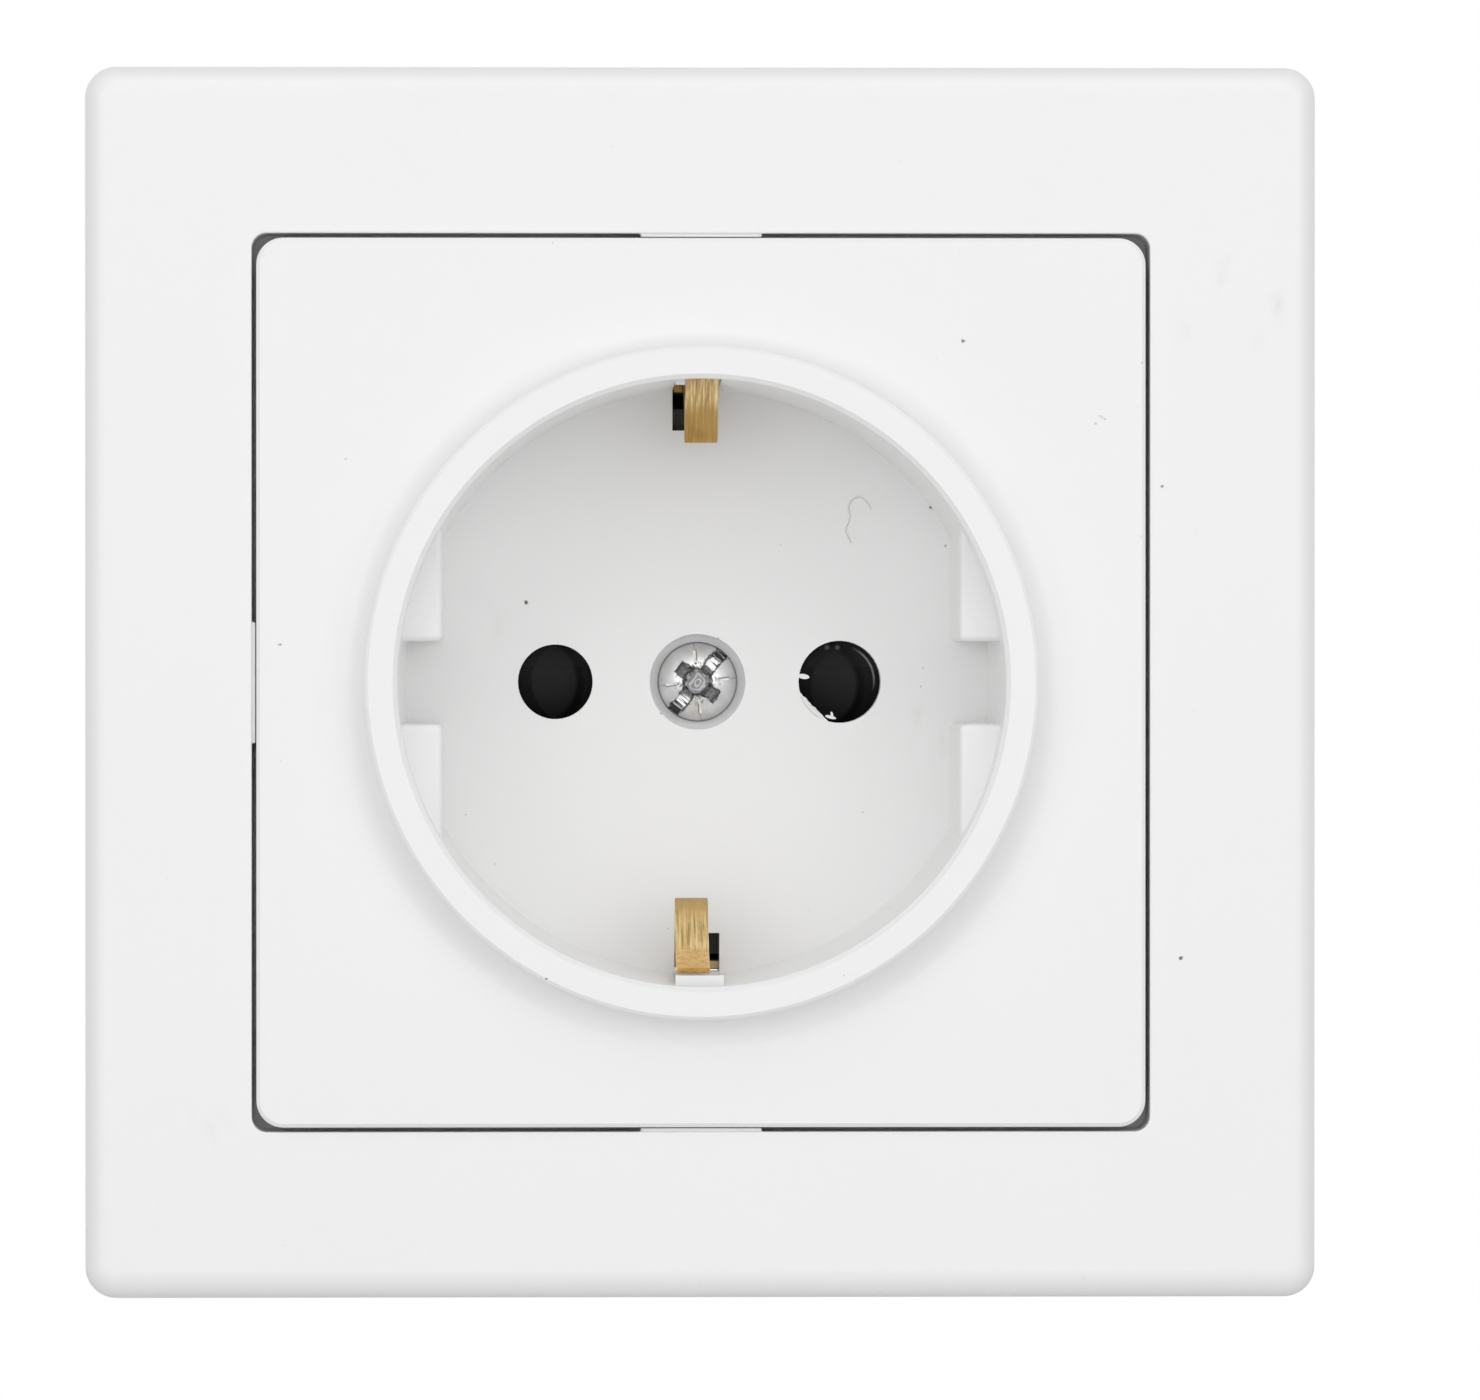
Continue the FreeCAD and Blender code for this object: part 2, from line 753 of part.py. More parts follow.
def make_shutter():
    """The slider: two ramped covers joined by a bridge above the screw boss."""
    body = make_body("shutter")
    half = shutter_half_width
    leg = shutter_leg
    bridge = size["shutter_bridge_half_width"]
    low = -shutter_half_height

    sketch = make_sketch(body, WALL, shutter_back)
    points = [
        (-half, low), (-leg, low), (-leg, bridge_low), (leg, bridge_low), (leg, low), (half, low),
        (half, shutter_half_height), (bridge, bridge_top), (-bridge, bridge_top), (-half, shutter_half_height),
    ]
    draw_outline(sketch, points)
    pad(body, sketch, size["shutter_thickness"])

    # pins push the slider up by these ramps
    sketch = make_sketch(body, SIDE)
    points = [
        (-shutter_front, size["ramp_top"]),
        (-shutter_front, low),
        (-(shutter_front - size["ramp_depth"]), low),
    ]
    draw_outline(sketch, points)
    pocket(body, sketch, 2 * half, symmetric=True)
    return body


spring_low = bridge_top + size["spring_seat_gap"]
spring_high = spring_low + size["spring_length"]


def tray_outline(grow):
    """The slider's room over its whole travel, with the spring's tower above, grown on all sides."""
    side = shutter_half_width + size["shutter_gap"] + grow
    shoulder = size["shutter_bridge_half_width"] + size["shutter_gap"] + grow
    tower = size["spring_half_span"] + size["spring_side_gap"] + grow
    low = -(shutter_half_height + size["tray_stop_gap"] + grow)
    end_room = size["shutter_travel"] + size["tray_stop_gap"] + grow
    right = [
        (side, low), (side, shutter_half_height + end_room), (shoulder, bridge_top + end_room),
        (tower, bridge_top + end_room), (tower, spring_high + size["spring_seat_gap"] + grow),
    ]
    left = [(-across, up) for across, up in reversed(right)]
    return right + left


def make_shutter_tray():
    """The tray behind the dish: a floor, and a wall that guides and stops the slider."""
    body = make_body("shutter_tray")
    sketch = make_sketch(body, WALL, tray_back)
    draw_outline(sketch, tray_outline(size["tray_wall"]))
    pad(body, sketch, dish_back - tray_back)

    sketch = make_sketch(body, WALL, dish_back)
    draw_outline(sketch, tray_outline(0))
    pocket(body, sketch, dish_back - tray_face)

    sketch = make_sketch(body, WALL, dish_back)
    for sign in (-1, 1):
        draw_circle(sketch, sign * size["pin_place"], 0, pin_way_radius)
    draw_circle(sketch, 0, 0, size["boss_radius"] + size["tray_bore_gap"])
    pocket(body, sketch, dish_back - tray_back)
    return body


def make_shutter_spring():
    """The return spring: one steel strip folded to and fro between the bridge and the tower's end."""
    body = make_body("shutter_spring")
    strip = size["spring_strip"]
    span = size["spring_half_span"]
    pitch = (size["spring_length"] - strip) / (SPRING_LEGS - 1)
    middle = (shutter_front + shutter_back) / 2

    sketch = make_sketch(body, WALL, middle)
    for leg in range(SPRING_LEGS):
        start = spring_low + leg * pitch
        draw_rectangle(sketch, -span, span, start, start + strip)
    pad(body, sketch, size["spring_width"], symmetric=True)

    # the folds join each leg to the next, on the right and on the left by turns
    sketch = make_sketch(body, WALL, middle)
    for leg in range(SPRING_LEGS - 1):
        left, right = (span - strip, span) if leg % 2 == 0 else (-span, strip - span)
        start = spring_low + leg * pitch
        draw_rectangle(sketch, left, right, start, start + pitch + strip)
    pad(body, sketch, size["spring_width"], symmetric=True)
    return body


ear_inner = size["claw_width"] / 2 + size["ear_gap"]
ear_outer = ear_inner + size["ear_thickness"]
rivet_place = (base_radius + size["rivet_out"]) * DIAGONAL
RIVET_CORNERS = ((rivet_place, rivet_place), (-rivet_place, -rivet_place))


def make_support_ring():
    """The steel plate against the wall, with ears folded back to carry the claws."""
    body = make_body("support_ring")
    thickness = size["ring_thickness"]

    sketch = make_sketch(body, WALL)
    draw_rounded_square(sketch, half_ring, size["ring_corner"])
    draw_circle(sketch, 0, 0, ring_hole_radius)
    pad(body, sketch, thickness)

    # slots for the screws of the wall box
    sketch = make_sketch(body, WALL, thickness)
    run = (size["box_slot_length"] - size["box_slot_width"]) / 2
    for sign in (-1, 1):
        middle = sign * size["box_screw_spacing"] / 2
        draw_slot(sketch, as_size(0), middle - run, middle + run, size["box_slot_width"] / 2)
    pocket(body, sketch, thickness)

    sketch = make_sketch(body, WALL, thickness)
    for across, up in RIVET_CORNERS:
        draw_circle(sketch, across, up, size["rivet_radius"] + size["rivet_gap"])
    for sign in (-1, 1):
        bore = size["claw_screw_radius"] + size["screw_clearance"]
        draw_circle(sketch, sign * claw_screw_place, 0, bore)
    pocket(body, sketch, thickness)

    # windows left by the folded ears, and notches that link a row of sockets
    margin = size["ear_margin"]
    near = trunnion_place - margin
    far = trunnion_place + margin
    notch = size["link_notch_width"] / 2
    sketch = make_sketch(body, WALL, thickness)
    for sign in (-1, 1):
        left, right = in_order(sign * near, sign * far)
        for side in (-1, 1):
            low, high = in_order(side * ear_outer, side * (ear_outer + size["ear_window"]))
            draw_rectangle(sketch, left, right, low, high)
        left, right = in_order(sign * (half_ring - size["link_notch_depth"]), sign * (half_ring + thickness))
        draw_rectangle(sketch, left, right, -notch, notch)
    pocket(body, sketch, thickness)

    sketch = make_sketch(body, WALL)
    for sign in (-1, 1):
        left, right = in_order(sign * near, sign * far)
        for side in (-1, 1):
            low, high = in_order(side * ear_inner, side * ear_outer)
            draw_rectangle(sketch, left, right, low, high)
    pad(body, sketch, size["claw_trunnion_station"] + margin, reverse=True)

    sketch = make_sketch(body, LEVEL)
    bore = size["claw_trunnion_radius"] + size["claw_trunnion_gap"]
    for sign in (-1, 1):
        draw_circle(sketch, sign * trunnion_place, size["claw_trunnion_station"], bore)
    pocket(body, sketch, 2 * (ear_outer + thickness), symmetric=True)
    return body


def make_contact_base():
    """The black base: a cup round the dish, with contact chambers and terminal pockets from behind."""
    body = make_body("contact_base")
    depth = size["base_depth"]

    sketch = make_sketch(body, WALL)
    draw_circle(sketch, 0, 0, base_radius)
    pad(body, sketch, depth, reverse=True)

    # flats beside the claws
    sketch = make_sketch(body, WALL)
    tall = size["base_flat_height"] / 2
    for sign in (-1, 1):
        left, right = in_order(sign * base_flat, sign * (base_radius + size["base_wall"]))
        draw_rectangle(sketch, left, right, -tall, tall)
    pocket(body, sketch, depth)

    sketch = make_sketch(body, WALL)
    for across, up in RIVET_CORNERS:
        draw_circle(sketch, across, up, size["lug_radius"])
    pad(body, sketch, size["lug_depth"], reverse=True)
    sketch = make_sketch(body, WALL)
    for across, up in RIVET_CORNERS:
        draw_circle(sketch, across, up, size["rivet_radius"] + size["rivet_gap"])
    pocket(body, sketch, size["lug_depth"])

    sketch = make_sketch(body, WALL)
    draw_circle(sketch, 0, 0, base_inner_radius)
    pocket(body, sketch, -tray_back)

    # from the recess: the ways for the pins, the screw and the two arms of the earth bracket
    sketch = make_sketch(body, WALL, tray_back)
    draw_circle(sketch, 0, 0, size["screw_radius"] + size["screw_clearance"])
    arm_edge = size["earth_slot_width"] / 2
    arm_room = size["arm_lift"] + size["bracket_side_gap"]
    arm_near = arm_radius - size["clip_thickness"] - arm_room
    arm_far = arm_radius + arm_room
    for sign in (-1, 1):
        draw_circle(sketch, sign * size["pin_place"], 0, pin_way_radius)
        low, high = in_order(sign * arm_near, sign * arm_far)
        draw_rectangle(sketch, -arm_edge, arm_edge, low, high)
    pocket(body, sketch, tray_back - strap_front)

    # from behind: contact chambers, then the terminal pockets and the channel of the earth strap
    sketch = make_sketch(body, WALL, base_rear)
    edge = size["chamber_width"] / 2
    for sign in (-1, 1):
        middle = sign * size["pin_place"]
        tall = size["chamber_height"] / 2
        draw_rectangle(sketch, middle - edge, middle + edge, -tall, tall)
    pocket(body, sketch, depth + tray_back - size["chamber_front_wall"], reverse=True)

    sketch = make_sketch(body, WALL, base_rear)
    channel = size["bracket_width"] / 2 + size["bracket_side_gap"]
    draw_rectangle(sketch, -channel, channel, -arm_far, arm_far)
    for sign in (-1, 1):
        middle = sign * size["pin_place"]
        draw_rectangle(sketch, middle - edge, middle + edge, as_size(0), size["terminal_pocket_top"])
    pocket(body, sketch, size["terminal_depth"], reverse=True)

    # gates in the rim for the wires
    sketch = make_sketch(body, WALL, base_rear)
    gate = size["wire_gate_width"] / 2
    beyond = base_radius + size["base_wall"]
    for sign in (-1, 1):
        middle = sign * size["pin_place"]
        draw_rectangle(sketch, middle - gate, middle + gate, size["terminal_pocket_top"] - gate, beyond)
    draw_rectangle(sketch, -gate, gate, -beyond, gate - arm_far)
    pocket(body, sketch, size["terminal_depth"] - size["wire_gate_step"], reverse=True)

    # blind holes that take the ends of the terminal screws
    sketch = make_sketch(body, WALL, strap_front)
    for across, up in (left_terminal, right_terminal, earth_terminal):
        draw_circle(sketch, across, up, terminal_bore_radius)
    pocket(body, sketch, size["terminal_screw_length"], reverse=True)
    return body


def draw_clip(sketch, sign):
    """Section of one arm with its bowed clip, in depth and height, above (1) or below (-1) the axis."""
    thick = size["clip_thickness"]
    arm_out = arm_radius + sign * size["arm_lift"]
    arm_in = arm_out - thick
    crest_in = dish_radius - size["clip_crest_depth"] + sign * size["crest_lift"]
    crest_out = crest_in + thick
    crest = -size["clip_crest_station"]
    arm_end = -dish_floor
    tip = -size["clip_tip_station"]
    tip_in = size["mouth_radius"] - size["clip_tip_inset"] + sign * size["tip_lift"]

    # both bows are arcs that run level at the crest
    run, rise = arm_end - crest, arm_out - crest_out
    back_out = (run * run + rise * rise) / (2 * rise)
    back_in = back_out + thick
    back_centre = crest_out + back_out
    arm_in_end = crest + (back_in * back_in - (back_centre - arm_in) * (back_centre - arm_in)).root()
    run, rise = crest - tip, tip_in - crest_in
    front_in = (run * run + rise * rise) / (2 * rise)
    front_out = front_in - thick
    front_centre = crest_in + front_in
    tip_out = (tip + thick * (crest - tip) / front_in, tip_in + thick * (front_centre - tip_in) / front_in)

    section = [
        (-strap_back, arm_out), (arm_end, arm_out), (crest, crest_out), tip_out,
        (tip, tip_in), (crest, crest_in), (arm_in_end, arm_in), (-strap_back, arm_in),
    ]
    points = [(depth, sign * radius) for depth, radius in section]
    draw_outline(sketch, points, {
        1: (back_out, sign * CLIP_BULGE),
        2: (front_out, sign * CLIP_BULGE),
        4: (front_in, -sign * CLIP_BULGE),
        5: (back_in, -sign * CLIP_BULGE),
    })


def make_earth_bracket():
    """The brass strap across the base, with an arm and a bowed clip at each end."""
    body = make_body("earth_bracket")
    arm_half = size["earth_slot_width"] / 2 - size["clip_slot_gap"]

    sketch = make_sketch(body, WALL, strap_front)
    half = size["bracket_width"] / 2
    draw_rectangle(sketch, -half, half, size["arm_lift"] - arm_radius, size["arm_lift"] + arm_radius)
    pad(body, sketch, size["bracket_thickness"], reverse=True)

    sketch = make_sketch(body, SIDE)
    for sign in (-1, 1):
        draw_clip(sketch, sign)
    pad(body, sketch, 2 * arm_half, symmetric=True)

    # each clip is narrower than its arm, and they stand towards opposite sides
    sketch = make_sketch(body, WALL, rim)
    outside = arm_half + size["clip_slot_gap"]
    near = dish_radius - size["clip_crest_depth"] - 2 * size["crest_lift"]
    draw_rectangle(sketch, -outside, size["upper_notch"] - arm_half, near, earth_pocket_radius)
    draw_rectangle(sketch, arm_half - size["upper_trim"], outside, near, earth_pocket_radius)
    draw_rectangle(sketch, arm_half - size["lower_notch"], outside, -earth_pocket_radius, -near)
    pocket(body, sketch, rim - dish_back)

    # the lower arm is narrower on the left from just before the dish floor
    sketch = make_sketch(body, WALL, dish_floor + size["lower_arm_step"])
    draw_rectangle(sketch, -outside, size["lower_arm_trim"] - arm_half, -earth_pocket_radius, -near)
    pocket(body, sketch, dish_floor + size["lower_arm_step"] - strap_front)

    sketch = make_sketch(body, WALL, strap_front)
    draw_circle(sketch, 0, 0, size["screw_radius"] + size["thread_clearance"])
    draw_circle(sketch, *earth_terminal, size["terminal_screw_radius"] + size["thread_clearance"])
    pocket(body, sketch, size["bracket_thickness"])
    return body


def make_contact(label, sign, terminal):
    """A brass pin grip: two sprung leaves on a back plate that runs up to the terminal."""
    body = make_body(label)
    thick = size["contact_thickness"]
    front = contact_depth
    back = front + thick
    grip = grip_depth
    mouth = contact_mouth
    root_half, grip_half, mouth_half = (
        size[name] / 2 for name in ("contact_root_gap", "grip_gap", "mouth_gap")
    )
    leaf = [
        (front, root_half + thick), (grip, grip_half + thick), (mouth, mouth_half + thick),
        (mouth, mouth_half), (grip, grip_half), (front, root_half),
    ]
    lower_leaf = [(depth, -height) for depth, height in reversed(leaf)]
    points = [(back, -(root_half + thick)), (back, size["tail_end"]), (front, size["tail_end"])]
    sketch = make_sketch(body, SIDE, sign * size["pin_place"])
    draw_outline(sketch, points + leaf + lower_leaf)
    pad(body, sketch, size["contact_width"], symmetric=True)

    sketch = make_sketch(body, WALL, strap_front)
    draw_circle(sketch, *terminal, size["terminal_screw_radius"] + size["thread_clearance"])
    pocket(body, sketch, thick)
    return body


def make_grip_spring(label, sign):
    """A steel clip that presses the two leaves of a pin grip together."""
    body = make_body(label)
    length = size["grip_spring_length"]
    thick = size["grip_spring_thickness"]
    spread = (size["contact_root_gap"] - size["grip_gap"]) / (contact_depth - grip_depth)
    leaf = (size["grip_gap"] + spread * length) / 2 + size["contact_thickness"]
    inside = leaf + size["grip_spring_gap"]
    outside = inside + thick
    half = size["contact_width"] / 2
    back_in = half + size["grip_spring_gap"]
    back_out = back_in + thick
    section = [
        (-half, inside), (back_in, inside), (back_in, -inside), (-half, -inside),
        (-half, -outside), (back_out, -outside), (back_out, outside), (-half, outside),
    ]
    sketch = make_sketch(body, WALL, -grip_depth)
    draw_outline(sketch, [(sign * (size["pin_place"] + across), up) for across, up in section])
    pad(body, sketch, length, reverse=True)
    return body


def make_clamp(label, terminal, seat):
    """A steel wire clamp with a groove each side of its screw."""
    body = make_body(label)
    half = size["clamp_side"] / 2
    across, up = terminal
    bore = size["terminal_screw_radius"] + size["thread_clearance"]
    sketch = make_sketch(body, WALL, seat)
    draw_rectangle(sketch, across - half, across + half, up - half, up + half)
    draw_circle(sketch, across, up, bore)
    pad(body, sketch, size["clamp_thickness"], reverse=True)

    sketch = make_sketch(body, WALL, seat)
    groove = size["clamp_groove_width"] / 2
    for sign in (-1, 1):
        middle = across + sign * (half + bore) / 2
        draw_rectangle(sketch, middle - groove, middle + groove, up - half, up + half)
    pocket(body, sketch, size["clamp_groove_depth"])
    return body


def make_terminal_screws():
    """Three like screws, each with its slotted head towards the back."""
    body = make_body("terminal_screws")
    seats = (
        (left_terminal, tail_back), (right_terminal, tail_back), (earth_terminal, strap_back),
    )
    for (across, up), plate in seats:
        seat = plate - size["clamp_thickness"]
        head_end = seat - size["terminal_head_height"]
        sketch = make_sketch(body, WALL, seat)
        draw_circle(sketch, across, up, size["terminal_head_radius"])
        pad(body, sketch, size["terminal_head_height"], reverse=True)
        sketch = make_sketch(body, WALL, seat)
        draw_circle(sketch, across, up, size["terminal_screw_radius"])
        pad(body, sketch, size["terminal_screw_length"])
        sketch = make_sketch(body, WALL, head_end)
        slot = size["terminal_slot_width"] / 2
        reach = size["terminal_head_radius"]
        draw_rectangle(sketch, across - reach, across + reach, up - slot, up + slot)
        pocket(body, sketch, size["terminal_slot_depth"], reverse=True)
    return body


def make_claw(label, sign):
    """A spreading claw: a forked leg on a trunnion, with a sharp foot that bites the wall box."""
    body = make_body(label)
    place = trunnion_place
    reach = place + size["claw_foot"]
    station = size["claw_trunnion_station"]
    half = size["claw_thickness"] / 2
    foot_end = station + size["claw_length"]
    foot_start = foot_end - size["claw_thickness"]

    section = [
        (place - half, station), (place + half, station), (place + half, foot_start),
        (reach - size["claw_tooth"], foot_start), (reach, foot_end),
        (place - half, foot_end),
    ]
    sketch = make_sketch(body, LEVEL)
    draw_outline(sketch, [(sign * across, depth) for across, depth in section])
    pad(body, sketch, size["claw_width"], symmetric=True)

    sketch = make_sketch(body, LEVEL)
    draw_circle(sketch, sign * place, station, size["claw_trunnion_radius"])
    pad(body, sketch, 2 * ear_outer, symmetric=True)

    # the fork straddles the screw that draws the claw forward
    sketch = make_sketch(body, SIDE)
    slot = size["claw_slot"] / 2
    draw_rectangle(sketch, station + size["claw_web"], foot_end + half, -slot, slot)
    pocket(body, sketch, 2 * (reach + half), symmetric=True)
    return body


def make_claw_screws():
    """Two like screws through the ring, one for each claw."""
    body = make_body("claw_screws")
    seat = size["ring_thickness"]
    head_end = seat + size["claw_screw_head_height"]
    places = [sign * claw_screw_place for sign in (-1, 1)]

    sketch = make_sketch(body, WALL, seat)
    for across in places:
        draw_circle(sketch, across, 0, size["claw_screw_head_radius"])
    pad(body, sketch, size["claw_screw_head_height"])

    sketch = make_sketch(body, WALL, seat)
    for across in places:
        draw_circle(sketch, across, 0, size["claw_screw_radius"])
    pad(body, sketch, size["claw_screw_length"], reverse=True)

    sketch = make_sketch(body, WALL, head_end)
    slot = size["claw_screw_slot_width"] / 2
    reach = size["claw_screw_head_radius"]
    for across in places:
        draw_rectangle(sketch, across - slot, across + slot, -reach, reach)
    pocket(body, sketch, size["claw_screw_slot_depth"])
    return body


def make_claw_nuts():
    """Two like square nuts behind the feet of the claws."""
    body = make_body("claw_nuts")
    foot_end = size["claw_trunnion_station"] + size["claw_length"]
    half = size["claw_nut_side"] / 2
    sketch = make_sketch(body, WALL, -(foot_end + size["claw_nut_gap"]))
    for sign in (-1, 1):
        across = sign * claw_screw_place
        draw_rectangle(sketch, across - half, across + half, -half, half)
        draw_circle(sketch, across, 0, size["claw_screw_radius"] + size["thread_clearance"])
    pad(body, sketch, size["claw_nut_thickness"], reverse=True)
    return body


def make_ring_rivets():
    """Two like rivets that hold the base to the ring, flush with the ends of its lugs."""
    body = make_body("ring_rivets")
    front = size["ring_thickness"]
    sketch = make_sketch(body, WALL, front)
    for across, up in RIVET_CORNERS:
        draw_circle(sketch, across, up, size["rivet_head_radius"])
    pad(body, sketch, size["rivet_head_height"])

    sketch = make_sketch(body, WALL, front)
    for across, up in RIVET_CORNERS:
        draw_circle(sketch, across, up, size["rivet_radius"])
    pad(body, sketch, front + size["lug_depth"], reverse=True)
    return body


bodies = [
    make_cover_frame(),
    make_centre_plate(),
    make_centre_screw(),
    make_shutter(),
    make_shutter_tray(),
    make_shutter_spring(),
    make_support_ring(),
    make_contact_base(),
    make_earth_bracket(),
    make_contact("left_contact", -1, left_terminal),
    make_contact("right_contact", 1, right_terminal),
    make_grip_spring("left_grip_spring", -1),
    make_grip_spring("right_grip_spring", 1),
    make_clamp("left_clamp", left_terminal, tail_back),
    make_clamp("right_clamp", right_terminal, tail_back),
    make_clamp("earth_clamp", earth_terminal, strap_back),
    make_terminal_screws(),
    make_claw("left_claw", -1),
    make_claw("right_claw", 1),
    make_claw_screws(),
    make_claw_nuts(),
    make_ring_rivets(),
]
doc.recompute()

# Nothing is written unless every object came out sound
for item in doc.Objects:
    if "Invalid" in item.State or "Error" in item.State:
        raise RuntimeError(f"{item.Label} failed: {item.State}")
for body in bodies:
    if body.Shape.isNull() or not body.Shape.isValid() or not body.Shape.Solids:
        raise RuntimeError(f"{body.Label} has no sound solid")

os.makedirs("parts", exist_ok=True)
for body in bodies:
    body.Shape.exportStep(f"parts/{body.Label}.step")
    print(body.Label, len(body.Shape.Solids), round(body.Shape.Volume, 1))
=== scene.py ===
import math

import bpy
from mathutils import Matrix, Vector


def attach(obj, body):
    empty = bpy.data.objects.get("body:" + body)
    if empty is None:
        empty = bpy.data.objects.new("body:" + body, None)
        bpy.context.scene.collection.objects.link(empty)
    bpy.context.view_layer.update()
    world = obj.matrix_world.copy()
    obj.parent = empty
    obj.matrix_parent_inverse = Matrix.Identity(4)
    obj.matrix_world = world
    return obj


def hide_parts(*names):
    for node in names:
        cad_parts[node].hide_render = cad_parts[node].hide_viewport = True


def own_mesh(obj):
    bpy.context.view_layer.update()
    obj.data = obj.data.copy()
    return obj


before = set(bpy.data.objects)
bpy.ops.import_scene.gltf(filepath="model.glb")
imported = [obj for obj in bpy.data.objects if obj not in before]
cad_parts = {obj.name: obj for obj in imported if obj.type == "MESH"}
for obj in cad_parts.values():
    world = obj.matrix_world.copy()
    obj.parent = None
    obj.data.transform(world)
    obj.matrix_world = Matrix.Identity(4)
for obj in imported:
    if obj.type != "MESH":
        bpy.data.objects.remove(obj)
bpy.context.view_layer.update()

# Support ring
# The square steel plate that screws to the wall box and carries all the rest.
# It is stamped and folded from sheet, then zinc plated, with its edges left as cut.
mm = 0.001


class Finish:
    """A shader socket in a material: arithmetic on it, and any other node, adds to its node tree."""

    def __init__(self, tree, socket=None):
        self.tree = tree
        self.socket = socket

    def node(self, kind, settings=None, inputs=None, output=0):
        made = self.tree.nodes.new("ShaderNode" + kind)
        for name, value in (settings or {}).items():
            setattr(made, name, value)
        for name, value in (inputs or {}).items():
            if isinstance(value, Finish):
                self.tree.links.new(value.socket, made.inputs[name])
            else:
                made.inputs[name].default_value = value
        return Finish(self.tree, made.outputs[output])

    def maths(self, operation, first, second):
        return self.node("Math", {"operation": operation}, {0: first, 1: second})

    def __add__(self, other):
        return self.maths("ADD", self, other)

    def __sub__(self, other):
        return self.maths("SUBTRACT", self, other)

    def __mul__(self, other):
        return self.maths("MULTIPLY", self, other)

    def __rsub__(self, other):
        return self.maths("SUBTRACT", other, self)

    __radd__ = __add__
    __rmul__ = __mul__

    def __abs__(self):
        return self.maths("ABSOLUTE", self, 0.0)

    def noise(self, scale, detail=3.0, stretch=(1.0, 1.0, 1.0)):
        place = self.node("Mapping", None, {"Vector": self, "Scale": stretch})
        return self.node("TexNoise", None, {"Vector": place, "Scale": scale, "Detail": detail})

    def between(self, low, high, first=0.0, last=1.0):
        inputs = {0: self, 1: low, 2: high, 3: first, 4: last}
        return self.node("MapRange", {"interpolation_type": "SMOOTHSTEP"}, inputs)

    def tint(self, first, last):
        return self.node("Mix", {"data_type": "RGBA"}, {0: self, 6: first, 7: last}, 2)

    def bump(self, strength, distance):
        return self.node("Bump", None, {"Strength": strength, "Distance": distance, "Height": self})

    def other(self, output):
        return Finish(self.tree, self.socket.node.outputs[output])

    def axis(self, name):
        return self.node("SeparateXYZ", None, {0: self}, name)

    def away(self, point):
        return self.node("VectorMath", {"operation": "DISTANCE"}, {0: self, 1: point}, "Value")

    def near(self, point, inner, outer):
        return self.away(point).between(inner, outer, 1.0, 0.0)


def start_finish(name):
    material = bpy.data.materials.new(name)
    material.use_nodes = True
    place = Finish(material.node_tree).node("TexCoord", output="Object")
    return material, place


def end_finish(material, values):
    shader = material.node_tree.nodes["Principled BSDF"]
    for name, value in values.items():
        if isinstance(value, Finish):
            material.node_tree.links.new(value.socket, shader.inputs[name])
        else:
            shader.inputs[name].default_value = value
    return material


def finish_solid(node, material):
    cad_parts[node].material_slots[0].material = material


def zinc_plating(name, pale, dull, grain):
    """Bright zinc: cloudy from the bath, with a fine grain stretched along the given axis scales."""
    material, place = start_finish(name)
    cloud = place.noise(420.0, 4.0).between(0.2, 0.8)
    rub = place.noise(900.0, 3.0, grain)
    stain = place.noise(140.0, 5.0).between(0.58, 0.8)
    colour = stain.tint(cloud.tint(pale, dull), (0.46, 0.44, 0.40, 1.0))
    return end_finish(material, {
        "Base Color": colour,
        "Metallic": 1.0,
        "Roughness": 0.24 + cloud * 0.08 + rub * 0.16,
        "Normal": rub.bump(0.12, 0.05 * mm),
    })


finish_solid("support_ring", zinc_plating(
    "zinc_ring", (0.66, 0.67, 0.69, 1.0), (0.56, 0.57, 0.58, 1.0), (0.2, 1.0, 1.6)))

# Ring rivets
# Two like steel rivets that hold the base's lugs to the ring.
# They are set cold from the front, so their heads are a little duller than the plate.
finish_solid("ring_rivets", zinc_plating(
    "zinc_rivets", (0.60, 0.60, 0.61, 1.0), (0.48, 0.48, 0.48, 1.0), (1.0, 1.0, 1.0)))


# Contact base
# The black moulding that holds the contacts in their chambers, open at the back for the wires.
# It is pressed from thermoset, so it is hard, faintly mottled and half glossy.
def black_moulding(name, deep, worn, gloss, painted_light_places=()):
    """Moulded black with a little dust all over, and painted light: paler blue-grey within 2 mm of the
    given places, in mm.
    """
    material, place = start_finish(name)
    mottle = place.noise(700.0, 4.0).between(0.35, 0.7)
    grain = place.noise(5200.0, 2.0)
    dust = place.noise(260.0, 6.0).between(0.58, 0.8)
    colour = dust.tint(mottle.tint(deep, worn), (0.055, 0.053, 0.05, 1.0))
    # Painted light: the black is lifted to a pale blue-grey round each given place.
    for x, y, z in painted_light_places:
        painted_light = place.near((x * mm, y * mm, z * mm), 2.0 * mm, 2.8 * mm)
        colour = painted_light.tint(colour, (0.40, 0.45, 0.48, 1.0))
    return end_finish(material, {
        "Base Color": colour,
        "Roughness": gloss + mottle * 0.12 + dust * 0.15,
        "Specular IOR Level": 0.45,
        "Normal": grain.bump(0.1, 0.03 * mm),
    })


# The two places are the recess faces seen through the earth clip windows, where painted light lifts the
# black.
finish_solid("contact_base", black_moulding(
    "black_base", (0.016, 0.016, 0.017, 1.0), (0.028, 0.027, 0.026, 1.0), 0.34,
    [(0.0, 12.3, 17.8), (0.0, 12.3, -17.8)]))


